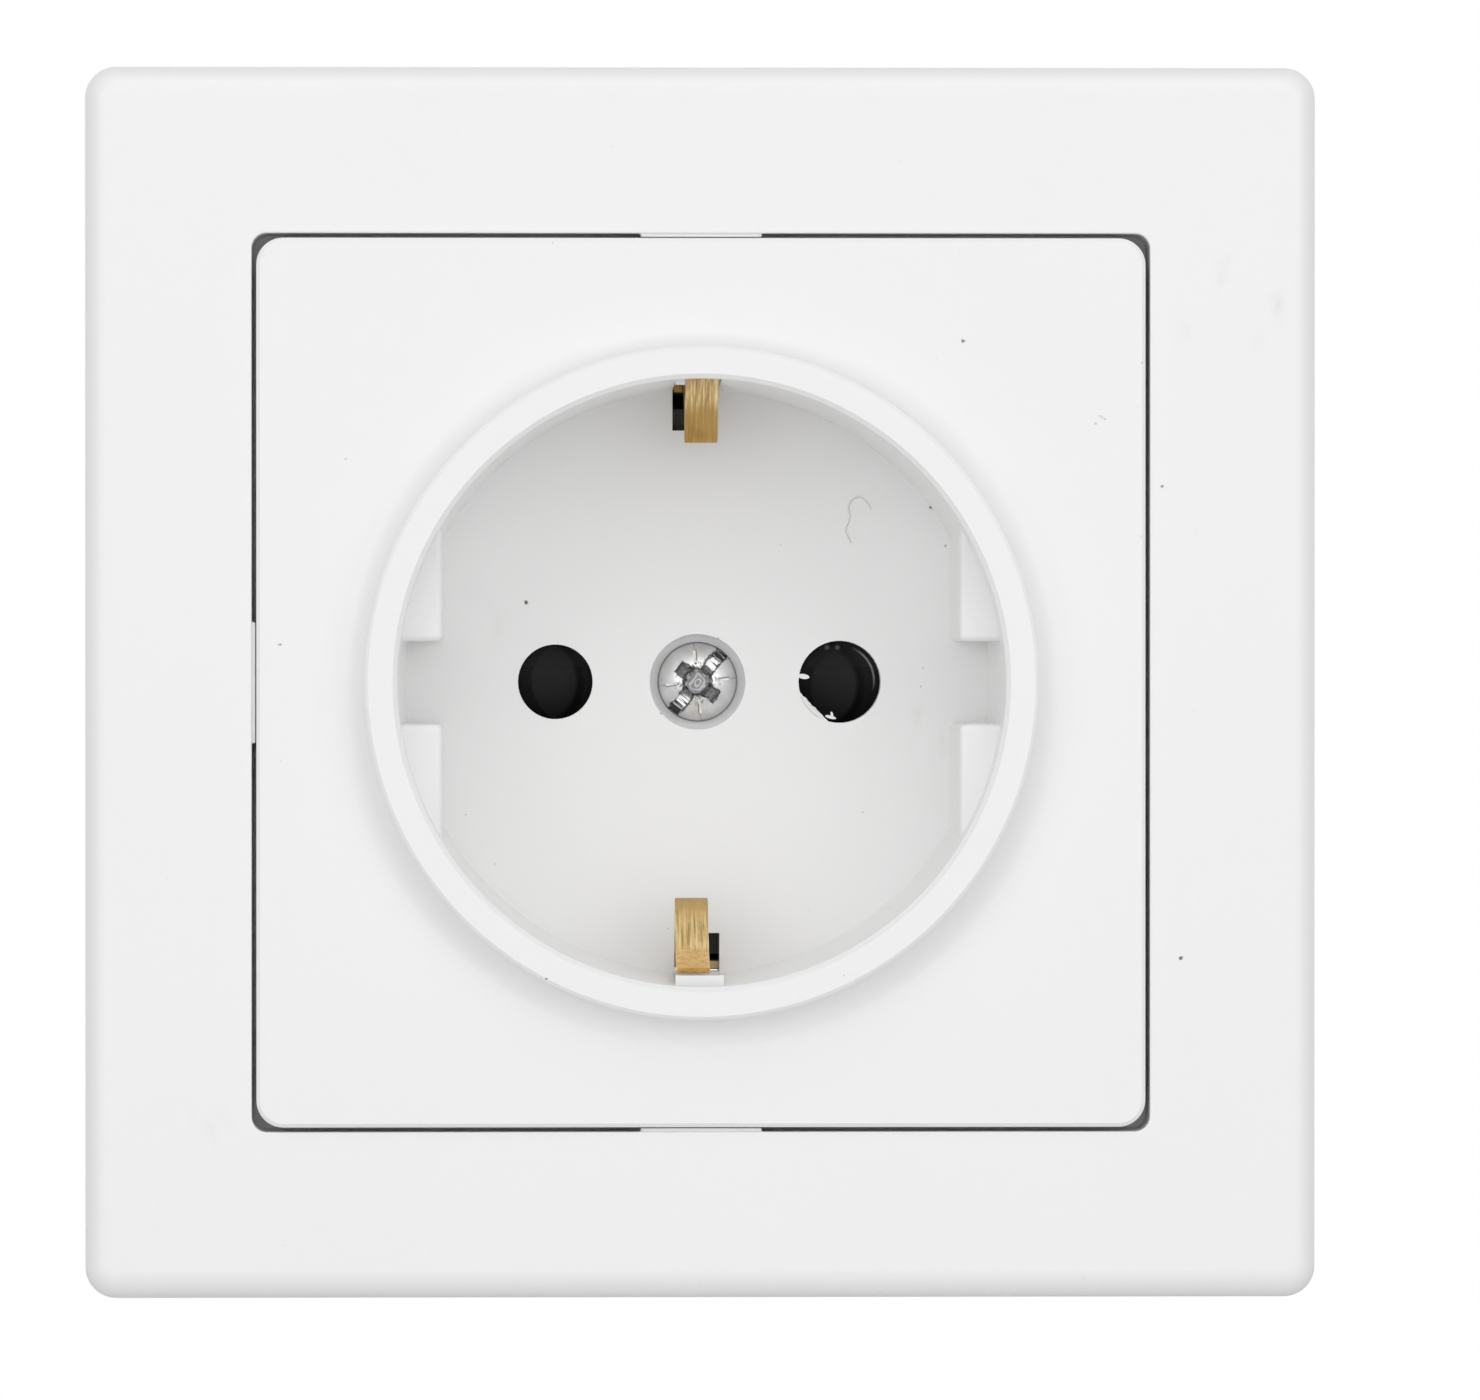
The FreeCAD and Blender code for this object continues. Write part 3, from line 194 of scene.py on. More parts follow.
# Pin contacts
# Two brass grips that take the plug's pins, each with a tail to its terminal.
# They are stamped and folded from strip, and handled only by the press, so they stay bright.
def brass_strip(name, bright, tarnish, along):
    """Rolled brass: streaks along the strip, brown where air and fingers have dulled it."""
    material, place = start_finish(name)
    streak = place.noise(1.0, 3.0, along)
    dulled = place.noise(190.0, 5.0).between(0.42, 0.72)
    colour = dulled.tint(streak.between(0.3, 0.7).tint(bright, tarnish), (0.30, 0.19, 0.08, 1.0))
    return end_finish(material, {
        "Base Color": colour,
        "Metallic": 1.0,
        "Roughness": 0.24 + streak * 0.2 + dulled * 0.14,
        "Normal": streak.bump(0.15, 0.04 * mm),
    })


contact_brass = brass_strip(
    "brass_contacts", (0.72, 0.55, 0.27, 1.0), (0.60, 0.43, 0.19, 1.0), (2600.0, 300.0, 260.0))
for node in ("left_contact", "right_contact"):
    finish_solid(node, contact_brass)


# Grip springs
# A steel clip round each brass grip, which keeps the leaves closed on the pin.
# It is bent from hardened strip with a grey oiled skin.
def hard_strip(name, pale, dark):
    material, place = start_finish(name)
    rolled = place.noise(1.0, 2.0, (300.0, 3200.0, 300.0))
    blue = place.noise(330.0, 3.0).between(0.4, 0.7)
    return end_finish(material, {
        "Base Color": blue.tint(pale, dark),
        "Metallic": 1.0,
        "Roughness": 0.26 + rolled * 0.18,
        "Normal": rolled.bump(0.1, 0.03 * mm),
    })


for node in ("left_grip_spring", "right_grip_spring"):
    finish_solid(node, hard_strip(
        "steel_" + node, (0.50, 0.50, 0.52, 1.0), (0.36, 0.36, 0.40, 1.0)))

# Earth bracket
# One brass strap across the base, with an arm and a bowed clip at each end.
# It is pressed from strip; the clips are drawn, brown where they leave the slot, and carry painted
# shade.
weld = 0.001 * mm
flat_angle = math.radians(0.5)
crease = math.radians(32)


def merged_copy(node, name):
    """A copy of a CAD solid with its loose triangles welded and its flat faces made whole."""
    bpy.ops.object.select_all(action="DESELECT")
    piece = bpy.data.objects.new(name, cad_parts[node].data.copy())
    bpy.context.scene.collection.objects.link(piece)
    piece.select_set(True)
    bpy.context.view_layer.objects.active = piece
    bpy.ops.mesh.customdata_custom_splitnormals_clear()
    bpy.ops.object.mode_set(mode="EDIT")
    bpy.ops.mesh.select_all(action="SELECT")
    bpy.ops.mesh.remove_doubles(threshold=weld)
    bpy.ops.mesh.dissolve_limited(angle_limit=flat_angle)
    bpy.ops.object.mode_set(mode="OBJECT")
    return piece


def round_edges(piece, width):
    """Takes the sharp edges off a piece, as the tool that made it does, and leaves plain triangles."""
    bpy.ops.object.shade_smooth_by_angle(angle=crease)
    bevel = piece.modifiers.new("edges", "BEVEL")
    bevel.width = width
    bevel.segments = 2
    bevel.limit_method = "ANGLE"
    bevel.angle_limit = crease
    bevel.use_clamp_overlap = True
    bevel.miter_outer = "MITER_ARC"
    bpy.ops.object.modifier_apply(modifier=bevel.name)
    bpy.ops.object.shade_smooth_by_angle(angle=crease)
    weighted = piece.modifiers.new("shading", "WEIGHTED_NORMAL")
    weighted.keep_sharp = True
    bpy.ops.object.modifier_apply(modifier=weighted.name)
    faces = piece.modifiers.new("faces", "TRIANGULATE")
    faces.keep_custom_normals = True
    bpy.ops.object.modifier_apply(modifier=faces.name)


def finish_piece(piece, node, body, material):
    piece.data.materials.clear()
    piece.data.materials.append(material)
    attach(piece, body)
    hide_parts(node)


clips = merged_copy("earth_bracket", "earth_clips")
round_edges(clips, 0.07 * mm)
clip_brass, place = start_finish("brass_clips")
depth = place.axis("Y")
upper = place.axis("Z").between(-2.0 * mm, 2.0 * mm)
pitted = place.noise(2400.0, 3.0)
cloud = place.noise(420.0, 4.0).between(0.35, 0.7)
drawn_upper = depth.between(-3.0 * mm, -1.0 * mm, 1.0, 0.15) * upper
drawn_lower = depth.between(-4.0 * mm, -2.6 * mm) * depth.between(-0.8 * mm, 0.6 * mm, 1.0, 0.0)
drawn = drawn_upper + drawn_lower * (1.0 - upper)
scratch = place.noise(1.0, 3.0, (8200.0, 240.0, 240.0))
line = scratch.between(0.48, 0.60) * drawn
groove = scratch.between(0.34, 0.46, 1.0, 0.0) * drawn
bright = pitted.between(0.3, 0.7).tint((0.90, 0.62, 0.25, 1.0), (0.70, 0.46, 0.16, 1.0))
dull = cloud.tint((0.56, 0.35, 0.11, 1.0), (0.42, 0.25, 0.06, 1.0))
# Painted shade: the top clip, which faces down, gets darker brass than the bottom one.
colour = upper.tint(bright, dull)
colour = (drawn * 0.5).tint(colour, (1.0, 0.73, 0.34, 1.0))
# Painted shade: grey-brown on the bottom clip behind its crest, where it turns away.
crest_painted_shade = depth.between(-0.4 * mm, 1.4 * mm) * (1.0 - upper)
colour = (crest_painted_shade * 0.7).tint(colour, (0.34, 0.28, 0.19, 1.0))
colour = (groove * 0.6).tint(colour, (0.30, 0.16, 0.04, 1.0))
colour = line.tint(colour, (1.0, 0.84, 0.46, 1.0))
tip = depth.between(-7.4 * mm, -5.6 * mm, 1.0, 0.0) * pitted.between(0.3, 0.6) * upper
colour = (tip * 0.6).tint(colour, (0.26, 0.11, 0.04, 1.0))
strap = depth.between(25.3 * mm, 25.5 * mm)
rolled = place.noise(1.0, 3.0, (2600.0, 300.0, 260.0)).between(0.3, 0.7)
colour = strap.tint(colour, rolled.tint((0.70, 0.52, 0.24, 1.0), (0.56, 0.40, 0.17, 1.0)))
# Painted shade: where the arms pass deep behind the dish floor they are a dull blue-grey, not metal.
inside = depth.between(8.2 * mm, 8.6 * mm) * (1.0 - strap)
painted_shade_colour = upper.tint((0.14, 0.16, 0.17, 1.0), (0.40, 0.45, 0.48, 1.0))
end_finish(clip_brass, {
    "Base Color": inside.tint(colour, painted_shade_colour),
    "Metallic": 1.0 - inside,
    "Roughness": 0.3 + pitted * 0.16 + inside * 0.3,
    "Normal": (line * 0.6 + pitted).bump(0.2, 0.04 * mm),
})
finish_piece(clips, "earth_bracket", "socket", clip_brass)

# Clamps and terminal screws
# A square clamp on each terminal, pulled down on the wire by its screw.
# All are zinc plated steel: the clamps are stamped, the screws are turned.
clamp_zinc = zinc_plating(
    "zinc_clamps", (0.68, 0.68, 0.68, 1.0), (0.55, 0.55, 0.55, 1.0), (1.5, 1.0, 0.3))
for node in ("left_clamp", "right_clamp", "earth_clamp"):
    finish_solid(node, clamp_zinc)
finish_solid("terminal_screws", zinc_plating(
    "zinc_terminal_screws", (0.70, 0.70, 0.69, 1.0), (0.58, 0.57, 0.54, 1.0), (1.0, 2.5, 1.0)))

# Shutter, its tray and its spring
# A black slider behind the pin holes, in a tray behind the dish, pushed home by a folded spring.
# The slider and the tray are moulded; behind each hole a dull lens-shaped land is bumped and rougher,
# and its lighter colour is painted light.
shutter_black, place = start_finish("black_shutter")
flat = place.node("VectorMath", {"operation": "MULTIPLY"}, {0: place, 1: (1.0, 0.0, 1.0)})
land_and_painted_light = 0.0
shade = 0.0
for across, up, half_width, half_height in ((-9.62, 0.0, 1.54, 2.6), (9.16, -0.3, 1.6, 2.5)):
    arc = (half_height ** 2 + half_width ** 2) / (2 * half_width)
    left_centre = ((across - arc + half_width) * mm, 0.0, up * mm)
    right_centre = ((across + arc - half_width) * mm, 0.0, up * mm)
    # Painted light: the lens-shaped land behind each hole is a lighter black than the rest.
    left = flat.near(left_centre, (arc - 0.12) * mm, arc * mm)
    right = flat.near(right_centre, (arc - 0.12) * mm, arc * mm)
    land_and_painted_light = left * right + land_and_painted_light
    # Painted shadow: a dark crescent just outside the lens's right edge.
    beside = flat.away(left_centre)
    band = beside.between(arc * mm, (arc + 0.15) * mm)
    shade = band * beside.between((arc + 0.3) * mm, (arc + 0.7) * mm, 1.0, 0.0) + shade
# Painted highlight: a light arc inside the right hole's right edge, and two small spots near its top.
ring = flat.away((9.4 * mm, 0.0, 0.0))
painted_highlight = ring.between(2.38 * mm, 2.48 * mm) * ring.between(2.5 * mm, 2.6 * mm, 1.0, 0.0)
painted_highlight = painted_highlight * flat.near((11.7 * mm, 0.0, 1.1 * mm), 0.6 * mm, 1.9 * mm)
for across in (8.72, 9.42):
    painted_highlight = flat.near((across * mm, 0.0, 2.3 * mm), 0.05 * mm, 0.24 * mm) * 0.4 + painted_highlight
grain = place.noise(4200.0, 2.0)
colour = land_and_painted_light.tint((0.018, 0.018, 0.018, 1.0), (0.032, 0.031, 0.031, 1.0))
colour = (shade * 0.7).tint(colour, (0.004, 0.004, 0.004, 1.0))
# Painted shade: the face above 1.1 mm, where the ramp starts, is a little darker.
ramp = place.axis("Z").between(0.7 * mm, 1.1 * mm)
colour = (ramp * 0.2).tint(colour, (0.002, 0.002, 0.002, 1.0))
end_finish(shutter_black, {
    "Base Color": painted_highlight.tint(colour, (0.30, 0.30, 0.30, 1.0)),
    "Roughness": 0.45 + land_and_painted_light * 0.2 + grain * 0.1,
    "Specular IOR Level": 0.1,
    "Normal": (land_and_painted_light * 4.0 + grain).bump(0.2, 0.04 * mm),
})
finish_solid("shutter", shutter_black)
finish_solid("shutter_tray", black_moulding(
    "black_tray", (0.014, 0.014, 0.015, 1.0), (0.022, 0.022, 0.022, 1.0), 0.4))
spring = merged_copy("shutter_spring", "return_spring")
bpy.ops.object.shade_smooth_by_angle(angle=crease)
finish_piece(spring, "shutter_spring", "socket", hard_strip(
    "steel_shutter_spring", (0.55, 0.55, 0.57, 1.0), (0.42, 0.42, 0.45, 1.0)))
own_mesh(spring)

# Claws with their screws and nuts
# A toothed claw at each side turns on its trunnion when its screw draws the nut along.
# They are stamped, turned and cut from steel and zinc plated together.
claw_zinc = zinc_plating(
    "zinc_claws", (0.64, 0.64, 0.66, 1.0), (0.50, 0.50, 0.51, 1.0), (1.0, 0.3, 1.6))
for node in ("left_claw", "right_claw"):
    finish_solid(node, claw_zinc)
finish_solid("claw_screws", zinc_plating(
    "zinc_claw_screws", (0.70, 0.70, 0.69, 1.0), (0.58, 0.57, 0.54, 1.0), (1.0, 3.0, 1.0)))
finish_solid("claw_nuts", zinc_plating(
    "zinc_claw_nuts", (0.62, 0.62, 0.63, 1.0), (0.50, 0.50, 0.51, 1.0), (1.0, 1.0, 1.0)))


# Centre plate
# One white moulding: the square plate, the collar and the dish with its key blocks and pin holes.
# It comes from a polished tool, so it is smooth and half glossy, and here it carries a few specks.
def white_moulding(name, specks, scuffed, pepper):
    """White plastic with specks at (x, y, z, radius, strength) in mm, faint scuffs and dust."""
    material, place = start_finish(name)
    cloud = place.noise(60.0, 4.0)
    peel = place.noise(1500.0, 2.0)
    colour = cloud.tint((0.910, 0.910, 0.910, 1.0), (0.925, 0.925, 0.925, 1.0))
    rub = place.noise(240.0, 6.0, (1.0, 1.0, 0.4)).between(0.56, 0.8)
    scuff = 0.0
    for x, y, z, radius in scuffed:
        scuff = place.near((x * mm, y * mm, z * mm), 0.2 * radius * mm, radius * mm) * rub + scuff
    colour = scuff.tint(colour, (0.66, 0.655, 0.64, 1.0))
    grain = place.node("TexVoronoi", None, {"Vector": place, "Scale": 520.0}, "Color")
    kept = grain.axis("X").between(0.72, 0.74) * pepper
    dust = grain.other("Distance").between(0.02, 0.05, 1.0, 0.0) * kept
    colour = dust.tint(colour, (0.40, 0.38, 0.35, 1.0))
    ragged = place.noise(5200.0, 2.0).between(0.2, 0.8, -0.06 * mm, 0.06 * mm)
    for x, y, z, radius, strength in specks:
        away = place.away((x * mm, y * mm, z * mm)) + ragged
        spot = away.between(0.6 * radius * mm, 1.2 * radius * mm, strength, 0.0)
        colour = spot.tint(colour, (0.10, 0.085, 0.07, 1.0))
    return end_finish(material, {
        "Base Color": colour,
        "Roughness": 0.3 + peel * 0.06 + scuff * 0.15,
        "Specular IOR Level": 0.5,
        "Normal": peel.bump(0.05, 0.03 * mm),
    })


def soften(piece, width, segments, chosen):
    """Rounds the edges of a piece for which chosen(start, end), in mm, is true."""
    bpy.ops.object.mode_set(mode="EDIT")
    bpy.ops.mesh.select_mode(type="EDGE")
    bpy.ops.mesh.select_all(action="DESELECT")
    bpy.ops.object.mode_set(mode="OBJECT")
    points = [point.co / mm for point in piece.data.vertices]
    for edge in piece.data.edges:
        edge.select = chosen(points[edge.vertices[0]], points[edge.vertices[1]])
    bpy.ops.object.mode_set(mode="EDIT")
    bpy.ops.mesh.bevel(offset=width, segments=segments, profile=0.5, clamp_overlap=True)
    bpy.ops.object.mode_set(mode="OBJECT")


key_face, key_front, notch_half, dish_wall = 16.9, -8.0, 2.7, 19.4


def on_key_block(start, end):
    """The front and notch edges of the key blocks, which stand out from the dish wall, in mm."""
    ends = (start, end)
    if any(abs(point.x) < key_face - 0.05 for point in ends):
        return False
    if all(math.hypot(point.x, point.z) > dish_wall for point in ends):
        return False
    front = all(abs(point.y - key_front) < 0.01 for point in ends)
    at_face = all(abs(abs(point.x) - key_face) < 0.02 for point in ends)
    at_notch = all(abs(abs(point.z) - notch_half) < 0.02 for point in ends)
    return front or (at_face and at_notch)


plate = merged_copy("centre_plate", "dish_plate")
soften(plate, 0.4 * mm, 4, on_key_block)
round_edges(plate, 0.08 * mm)
plate_specks = [
    (-11.46, 6.0, 5.32, 0.14, 1.0), (15.6, 5.9, 11.7, 0.14, 0.9), (12.66, 0.5, -14.92, 0.14, 0.9),
    (16.9, 3.3, -7.98, 0.11, 0.7), (16.6, 6.0, 9.12, 0.1, 0.5), (9.5, -8.0, -17.29, 0.1, 0.6),
    (-10.15, -11.5, -19.25, 0.11, 0.7), (-27.5, -9.0, 2.47, 0.1, 0.6), (-3.05, 6.0, -0.27, 0.1, 0.8),
    (-2.42, 6.0, -2.1, 0.08, 0.6), (1.37, 6.0, 2.85, 0.08, 0.6), (21.37, -9.6, 10.57, 0.12, 0.8),
    (17.05, -9.0, 22.3, 0.12, 0.8)]
plate_scratch = [
    (25.98, -9.0, 17.38, 0.08, 0.25), (26.15, -9.0, 17.30, 0.1, 0.3), (26.33, -9.0, 17.20, 0.1, 0.35),
    (25.76, -9.0, 16.92, 0.09, 0.35)]
dish_scuffs = [(-15.5, 6.0, 3.5, 3.5), (15.5, 6.0, -3.5, 3.5)]
finish_piece(plate, "centre_plate", "socket", white_moulding(
    "white_plate", plate_specks + plate_scratch, dish_scuffs, 0.5))

# Moulding flash and a stray fibre
# A ragged skin of the same white plastic, left where the right pin hole's core met the tool.
# A short grey fibre lies on the dish floor above it.
hole = (9.5 * mm, 6.0 * mm, 0.0)
hole_rim = 2.77 * mm
flash_skin = 0.14 * mm
scrap_skin = 0.12 * mm
bpy.ops.object.select_all(action="DESELECT")
bpy.ops.mesh.primitive_circle_add(
    vertices=72, radius=hole_rim, fill_type="NGON", location=hole, rotation=(math.pi / 2, 0.0, 0.0))
flash = bpy.context.object
flash.name = "moulding_flash"
bpy.ops.object.transform_apply(location=True, rotation=True, scale=True)
bpy.ops.object.mode_set(mode="EDIT")
bpy.ops.mesh.select_all(action="SELECT")
bpy.ops.mesh.bisect(
    plane_co=(7.75 * mm, 6.0 * mm, -1.535 * mm), plane_no=(0.72, 0.0, 0.694), clear_outer=True)
bpy.ops.mesh.select_all(action="DESELECT")
bpy.ops.object.mode_set(mode="OBJECT")
for edge in flash.data.edges:
    ends = [flash.data.vertices[index].co / mm for index in edge.vertices]
    edge.select = (ends[0] - ends[1]).length > 1.0
bpy.ops.object.mode_set(mode="EDIT")
bpy.ops.mesh.select_mode(type="EDGE")
bpy.ops.mesh.subdivide(number_cuts=16)
bpy.ops.transform.vertex_random(offset=0.09 * mm, seed=4)
bpy.ops.mesh.select_all(action="SELECT")
bpy.ops.mesh.extrude_region_move(TRANSFORM_OT_translate={"value": (0.0, flash_skin, 0.0)})
bpy.ops.object.mode_set(mode="OBJECT")

scraps = [flash]
for across, front, up, wide, tall, turned in ((7.08, 6.02, 0.36, 0.40, 0.17, 0.15),
                                              (8.90, 5.97, -2.36, 0.38, 0.11, 0.25),
                                              (8.98, 5.93, -2.20, 0.09, 0.22, -0.2)):
    bpy.ops.object.select_all(action="DESELECT")
    bpy.ops.mesh.primitive_circle_add(
        vertices=14, radius=1.0 * mm, fill_type="NGON", location=(across * mm, front * mm, up * mm),
        rotation=(math.pi / 2, turned, 0.0))
    scrap = bpy.context.object
    scrap.scale = (wide, tall, 1.0)
    bpy.ops.object.transform_apply(location=True, rotation=True, scale=True)
    bpy.ops.object.mode_set(mode="EDIT")
    bpy.ops.mesh.select_all(action="SELECT")
    bpy.ops.mesh.extrude_region_move(TRANSFORM_OT_translate={"value": (0.0, scrap_skin, 0.0)})
    bpy.ops.object.mode_set(mode="OBJECT")
    scraps.append(scrap)
for scrap in scraps:
    scrap.select_set(True)
bpy.context.view_layer.objects.active = flash
bpy.ops.object.join()
bpy.ops.object.mode_set(mode="EDIT")
bpy.ops.mesh.select_all(action="SELECT")
bpy.ops.mesh.normals_make_consistent(inside=False)
bpy.ops.object.mode_set(mode="OBJECT")
flash.data.materials.append(white_moulding("white_flash", [], [(7.75, 6.0, -1.5, 1.6)], 0.0))
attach(flash, "socket")

bends = [(10.29, 9.25), (10.08, 9.69), (9.84, 10.11), (10.13, 10.70), (10.25, 11.06), (10.08, 11.48),
         (10.15, 11.98), (10.50, 12.28), (10.79, 12.38), (11.17, 12.19), (11.47, 11.85), (11.63, 11.50)]
bpy.ops.object.select_all(action="DESELECT")
thread = bpy.data.curves.new("dust_fibre", "CURVE")
thread.dimensions = "3D"
thread.bevel_depth = 0.028 * mm
thread.bevel_resolution = 2
thread.use_fill_caps = True
strand = thread.splines.new("NURBS")
strand.points.add(len(bends) - 1)
for point, (across, up) in zip(strand.points, bends):
    point.co = (across * mm, 5.96 * mm, up * mm, 1.0)
strand.order_u = 3
strand.use_endpoint_u = True
fibre = bpy.data.objects.new("dust_fibre", thread)
bpy.context.scene.collection.objects.link(fibre)
fibre.select_set(True)
bpy.context.view_layer.objects.active = fibre
bpy.ops.object.convert(target="MESH")
lint, place = start_finish("grey_lint")
wisp = place.noise(3000.0, 2.0)
end_finish(lint, {
    "Base Color": wisp.tint((0.62, 0.61, 0.60, 1.0), (0.80, 0.79, 0.78, 1.0)),
    "Roughness": 0.85,
})
fibre.data.materials.append(lint)
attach(fibre, "socket")

# Centre screw
# The zinc plated steel screw that clamps the plate to the bracket, with a slot across a cross recess.
# Its head is cold formed and shows the tool's ticks, and its colour carries painted shade and painted
# reflections in and round the recess.
screw = merged_copy("centre_screw", "plate_screw")
round_edges(screw, 0.04 * mm)
# Sizes in this finish are in millimetres on the head, turned so that X runs along the slot.
slot_turn = math.radians(50.7)
screw_zinc, place = start_finish("zinc_centre_screw")
turned = place.node("Mapping", None, {
    "Vector": place, "Rotation": (0.0, slot_turn, 0.0), "Scale": (1000.0, 1000.0, 1000.0)})
ragged = place.noise(2400.0, 3.0).between(0.2, 0.8, -0.09, 0.09)
along = abs(turned.axis("X")) + ragged
across = abs(turned.axis("Z")) + ragged
flat = turned.node("VectorMath", {"operation": "MULTIPLY"}, {0: turned, 1: (1.0, 0.0, 1.0)})
radius = flat.away((0.0, 0.0, 0.0))
head = turned.axis("Y").between(9.0, 10.0, 1.0, 0.0)
edge = radius + ragged * 1.5
cloud = place.noise(900.0, 4.0)
streak = place.noise(1.0, 3.0, (5200.0, 2600.0, 5200.0))
stripe = turned.noise(1.0, 2.0, (7.0, 0.2, 0.8))
in_slot = across.between(0.38, 0.42, 1.0, 0.0)
long_arm = in_slot * along.between(1.16, 1.24, 1.0, 0.0)
short_arm = along.between(0.38, 0.44, 1.0, 0.0) * across.between(1.50, 1.62, 1.0, 0.0)
cross = long_arm.maths("MAXIMUM", long_arm, short_arm)
pit = edge.between(0.62, 0.74, 1.0, 0.0)
ring = edge.between(0.66, 0.78) * edge.between(0.94, 1.10, 1.0, 0.0)
ramp = in_slot * along.between(1.2, 1.3)
slot_end = ramp * along.between(1.86, 2.0)
slot_wall = across.between(0.34, 0.40) * across.between(0.44, 0.52, 1.0, 0.0) * along.between(0.6, 0.8)
arm_wall = along.between(0.34, 0.40) * along.between(0.44, 0.54, 1.0, 0.0) * across.between(0.5, 0.7)
arm_wall = arm_wall * across.between(1.56, 1.68, 1.0, 0.0)
arm_end = across.between(1.46, 1.56) * across.between(1.64, 1.74, 1.0, 0.0)
arm_end = arm_end * along.between(0.44, 0.52, 1.0, 0.0)
wall = slot_wall.maths("MAXIMUM", slot_wall, arm_wall.maths("MAXIMUM", arm_wall, arm_end))
petal = along.between(0.42, 0.6) * across.between(0.42, 0.6) * edge.between(1.2, 1.7, 1.0, 0.0)
tick = abs(along - across).between(0.06, 0.12, 1.0, 0.0) * radius.between(1.3, 1.5)
tick_painted_shade = (along - across).between(0.06, 0.12) * (along - across).between(0.16, 0.24, 1.0, 0.0)
tick_painted_shade = tick_painted_shade * radius.between(1.3, 1.5) * radius.between(2.0, 2.3, 1.0, 0.0)
plating = cloud.between(0.3, 0.7).tint((0.84, 0.84, 0.84, 1.0), (0.70, 0.70, 0.70, 1.0))
# Painted reflections: dark streaks on the petals between the arms.
colour = (petal * streak.between(0.36, 0.50, 1.0, 0.0)).tint(plating, (0.16, 0.16, 0.16, 1.0))
# The tool's tick marks, a grey line with painted shade along one side.
colour = (tick * 0.5).tint(colour, (0.45, 0.45, 0.45, 1.0))
colour = (tick_painted_shade * 0.8).tint(colour, (0.12, 0.12, 0.12, 1.0))
# Painted reflections: dark stripes on the slot's ramps and darker slot ends.
colour = (ramp * stripe.between(0.41, 0.49, 1.0, 0.0)).tint(colour, (0.10, 0.10, 0.10, 1.0))
colour = (slot_end * stripe.between(0.50, 0.66, 1.0, 0.5)).tint(colour, (0.03, 0.03, 0.03, 1.0))
# Painted shade: the cross recess is dark grey, and the ring round the pit near black.
cross_grey = streak.between(0.35, 0.65).tint((0.18, 0.18, 0.18, 1.0), (0.32, 0.32, 0.32, 1.0))
colour = cross.tint(colour, cross_grey)
ring_grey = streak.between(0.3, 0.6).tint((0.03, 0.03, 0.03, 1.0), (0.15, 0.15, 0.15, 1.0))
colour = ring.tint(colour, ring_grey)
# Painted shade: darker round the head's outer edge, and near black on the recess walls.
colour = radius.between(2.5, 2.64).tint(colour, (0.30, 0.30, 0.30, 1.0))
colour = (wall * 0.85).tint(colour, (0.02, 0.02, 0.02, 1.0))
# Painted reflection: a lighter swirl in the centre pit.
swirl = turned.node(
    "TexWave", {"wave_type": "RINGS", "rings_direction": "Y"},
    {"Vector": turned, "Scale": 1.0, "Distortion": 9.0, "Detail": 1.0, "Detail Scale": 1.6}, "Fac")
centre = swirl.between(0.2, 0.9).tint((0.32, 0.32, 0.32, 1.0), (0.62, 0.62, 0.62, 1.0))
end_finish(screw_zinc, {
    "Base Color": head.tint(plating, pit.tint(colour, centre)),
    "Metallic": 1.0,
    "Roughness": 0.30 + cloud * 0.16 + cross * 0.1,
    "Normal": (streak + cloud).bump(0.12, 0.04 * mm),
})
finish_piece(screw, "centre_screw", "socket", screw_zinc)

# Cover frame
# The square white bezel, hollow behind, that the plate holds against the wall.
# It is moulded in the same white plastic, with a soft outer edge and three centring tabs inside.
bezel = merged_copy("cover_frame", "bezel")
round_edges(bezel, 0.1 * mm)
bezel_specks = [(30.1, -8.5, 12.8, 0.12, 0.8), (31.37, -8.5, -17.99, 0.13, 0.9)]
bezel_scuffs = [(-34.0, -8.5, -33.0, 7.0), (35.0, -8.5, 24.0, 6.0)]
finish_piece(bezel, "cover_frame", "socket", white_moulding(
    "white_bezel", bezel_specks, bezel_scuffs, 0.15))

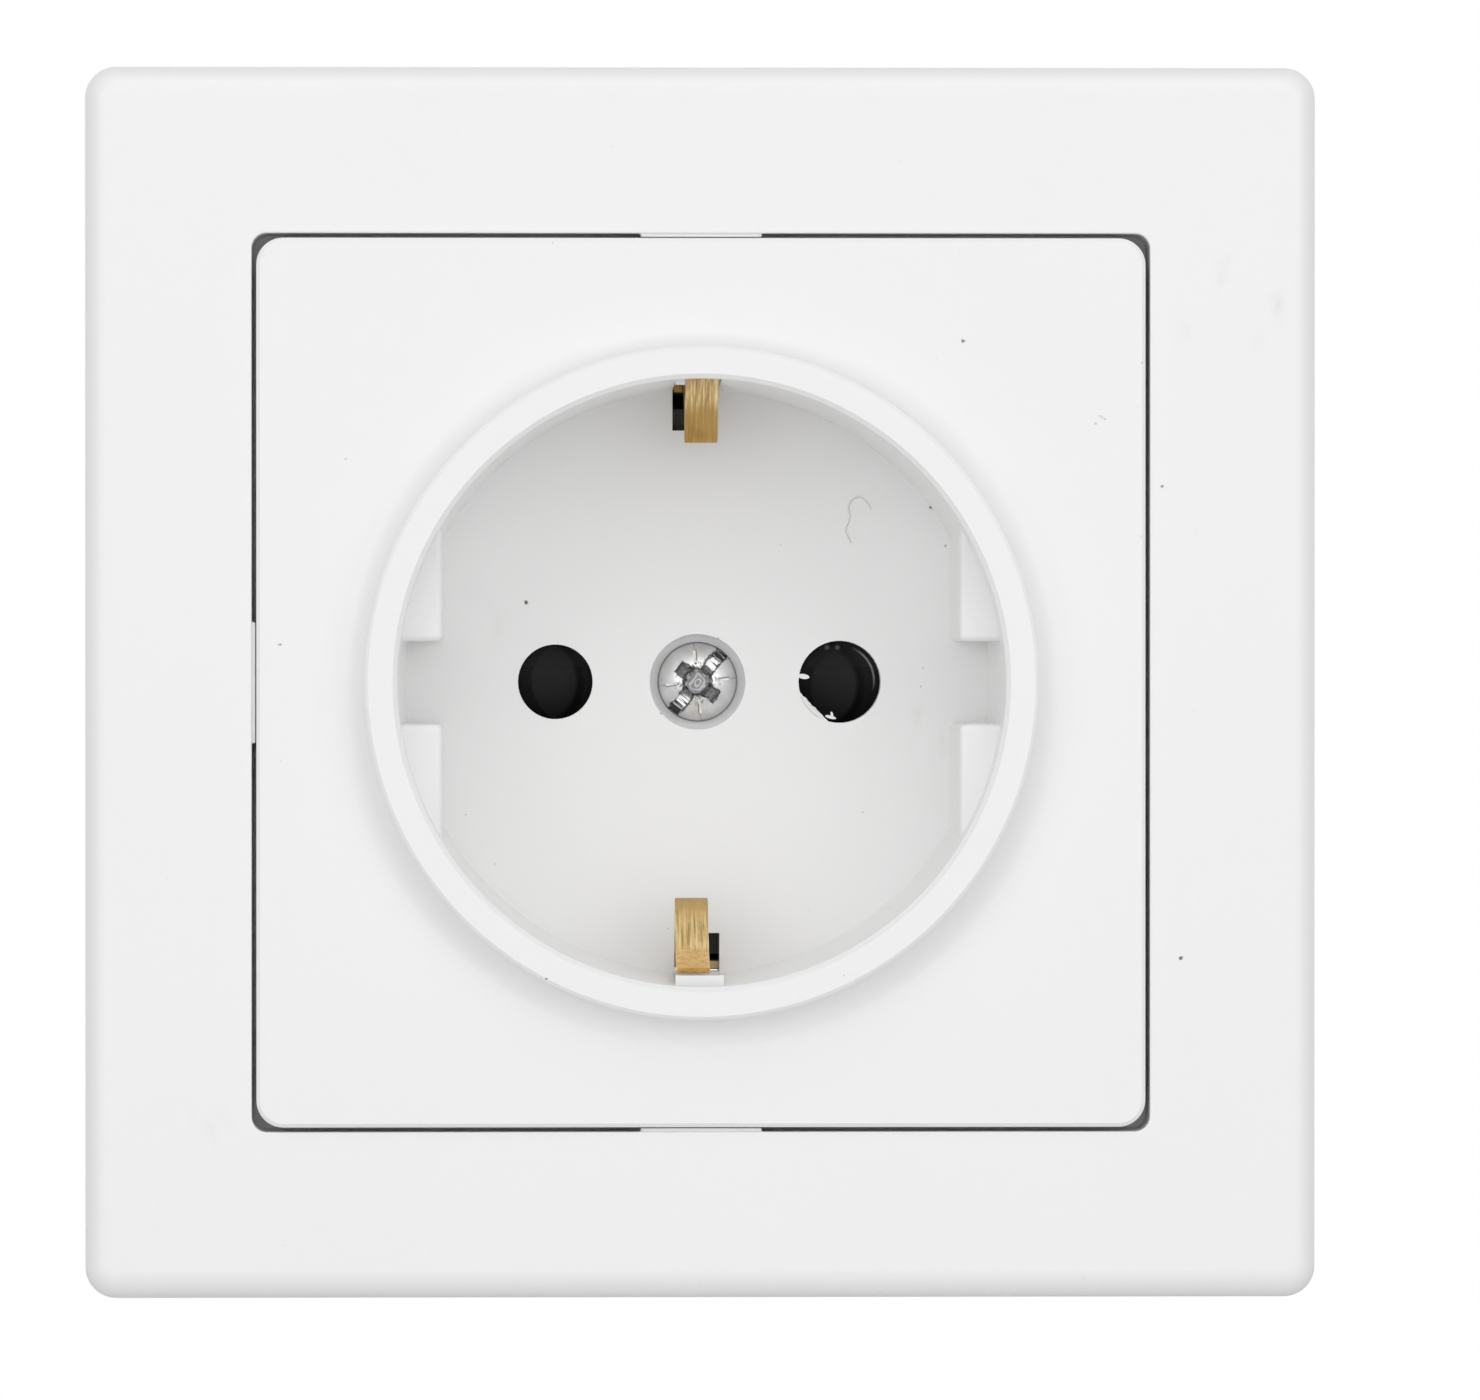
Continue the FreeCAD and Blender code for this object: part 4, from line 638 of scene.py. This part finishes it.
# Studio
# A pale floor well below, and soft lamps in front, at both sides and above in a plain white room.
# The room is white to the eye and in reflections, and gives a softer fill to everything else.
# The camera stands 0.62 m away, a little left of the middle, as for the photograph.
room_fill = 0.42
lamp_side = 0.9
bpy.ops.object.select_all(action="DESELECT")
bpy.ops.mesh.primitive_plane_add(size=2.0, location=(0.0, -0.25, -0.12))
floor = bpy.context.object
floor.name = "floor"
paint, place = start_finish("pale_floor")
wash = place.noise(9.0, 3.0)
end_finish(paint, {
    "Base Color": wash.tint((0.86, 0.86, 0.86, 1.0), (0.89, 0.89, 0.89, 1.0)),
    "Roughness": 0.7,
})
floor.data.materials.append(paint)

world = bpy.context.scene.world or bpy.data.worlds.new("room")
bpy.context.scene.world = world
world.use_nodes = True
room = Finish(world.node_tree).node("LightPath", output="Is Camera Ray")
glossy = room.node("LightPath", output="Is Glossy Ray")
through = room.node("LightPath", output="Is Transmission Ray")
seen = (room + glossy + through).between(0.0, 1.0, room_fill, 1.0)
backdrop = world.node_tree.nodes["Background"]
backdrop.inputs["Color"].default_value = (1.0, 1.0, 1.0, 1.0)
world.node_tree.links.new(seen.socket, backdrop.inputs["Strength"])


def aim_from(place, aim):
    return (Vector(aim) - Vector(place)).to_track_quat("-Z", "Y").to_euler()


def hang_lamp(name, place, power):
    lamp = bpy.data.lights.new(name, "AREA")
    lamp.shape = "SQUARE"
    lamp.size = lamp_side
    lamp.energy = power
    holder = bpy.data.objects.new(name, lamp)
    bpy.context.scene.collection.objects.link(holder)
    holder.location = place
    holder.rotation_euler = aim_from(place, (0.0, 0.0, 0.0))


for name, place, power in (("front", (0.0, -1.386, 0.194), 1.95),
                           ("left", (-0.886, -1.056, 0.244), 3.60),
                           ("right", (0.886, -1.056, 0.244), 3.60),
                           ("above", (0.0, -0.804, 1.146), 3.30)):
    hang_lamp(name, place, power)

camera = bpy.data.cameras.new("camera")
camera.lens = 228.3
camera.sensor_width = 36.0
eye = bpy.data.objects.new("camera", camera)
bpy.context.scene.collection.objects.link(eye)
eye.location = (-0.0105, -0.621, 0.0023)
eye.rotation_euler = aim_from(eye.location, (0.00271, 0.0, -0.00118))
bpy.context.scene.camera = eye
bpy.context.scene.view_settings.view_transform = "Standard"
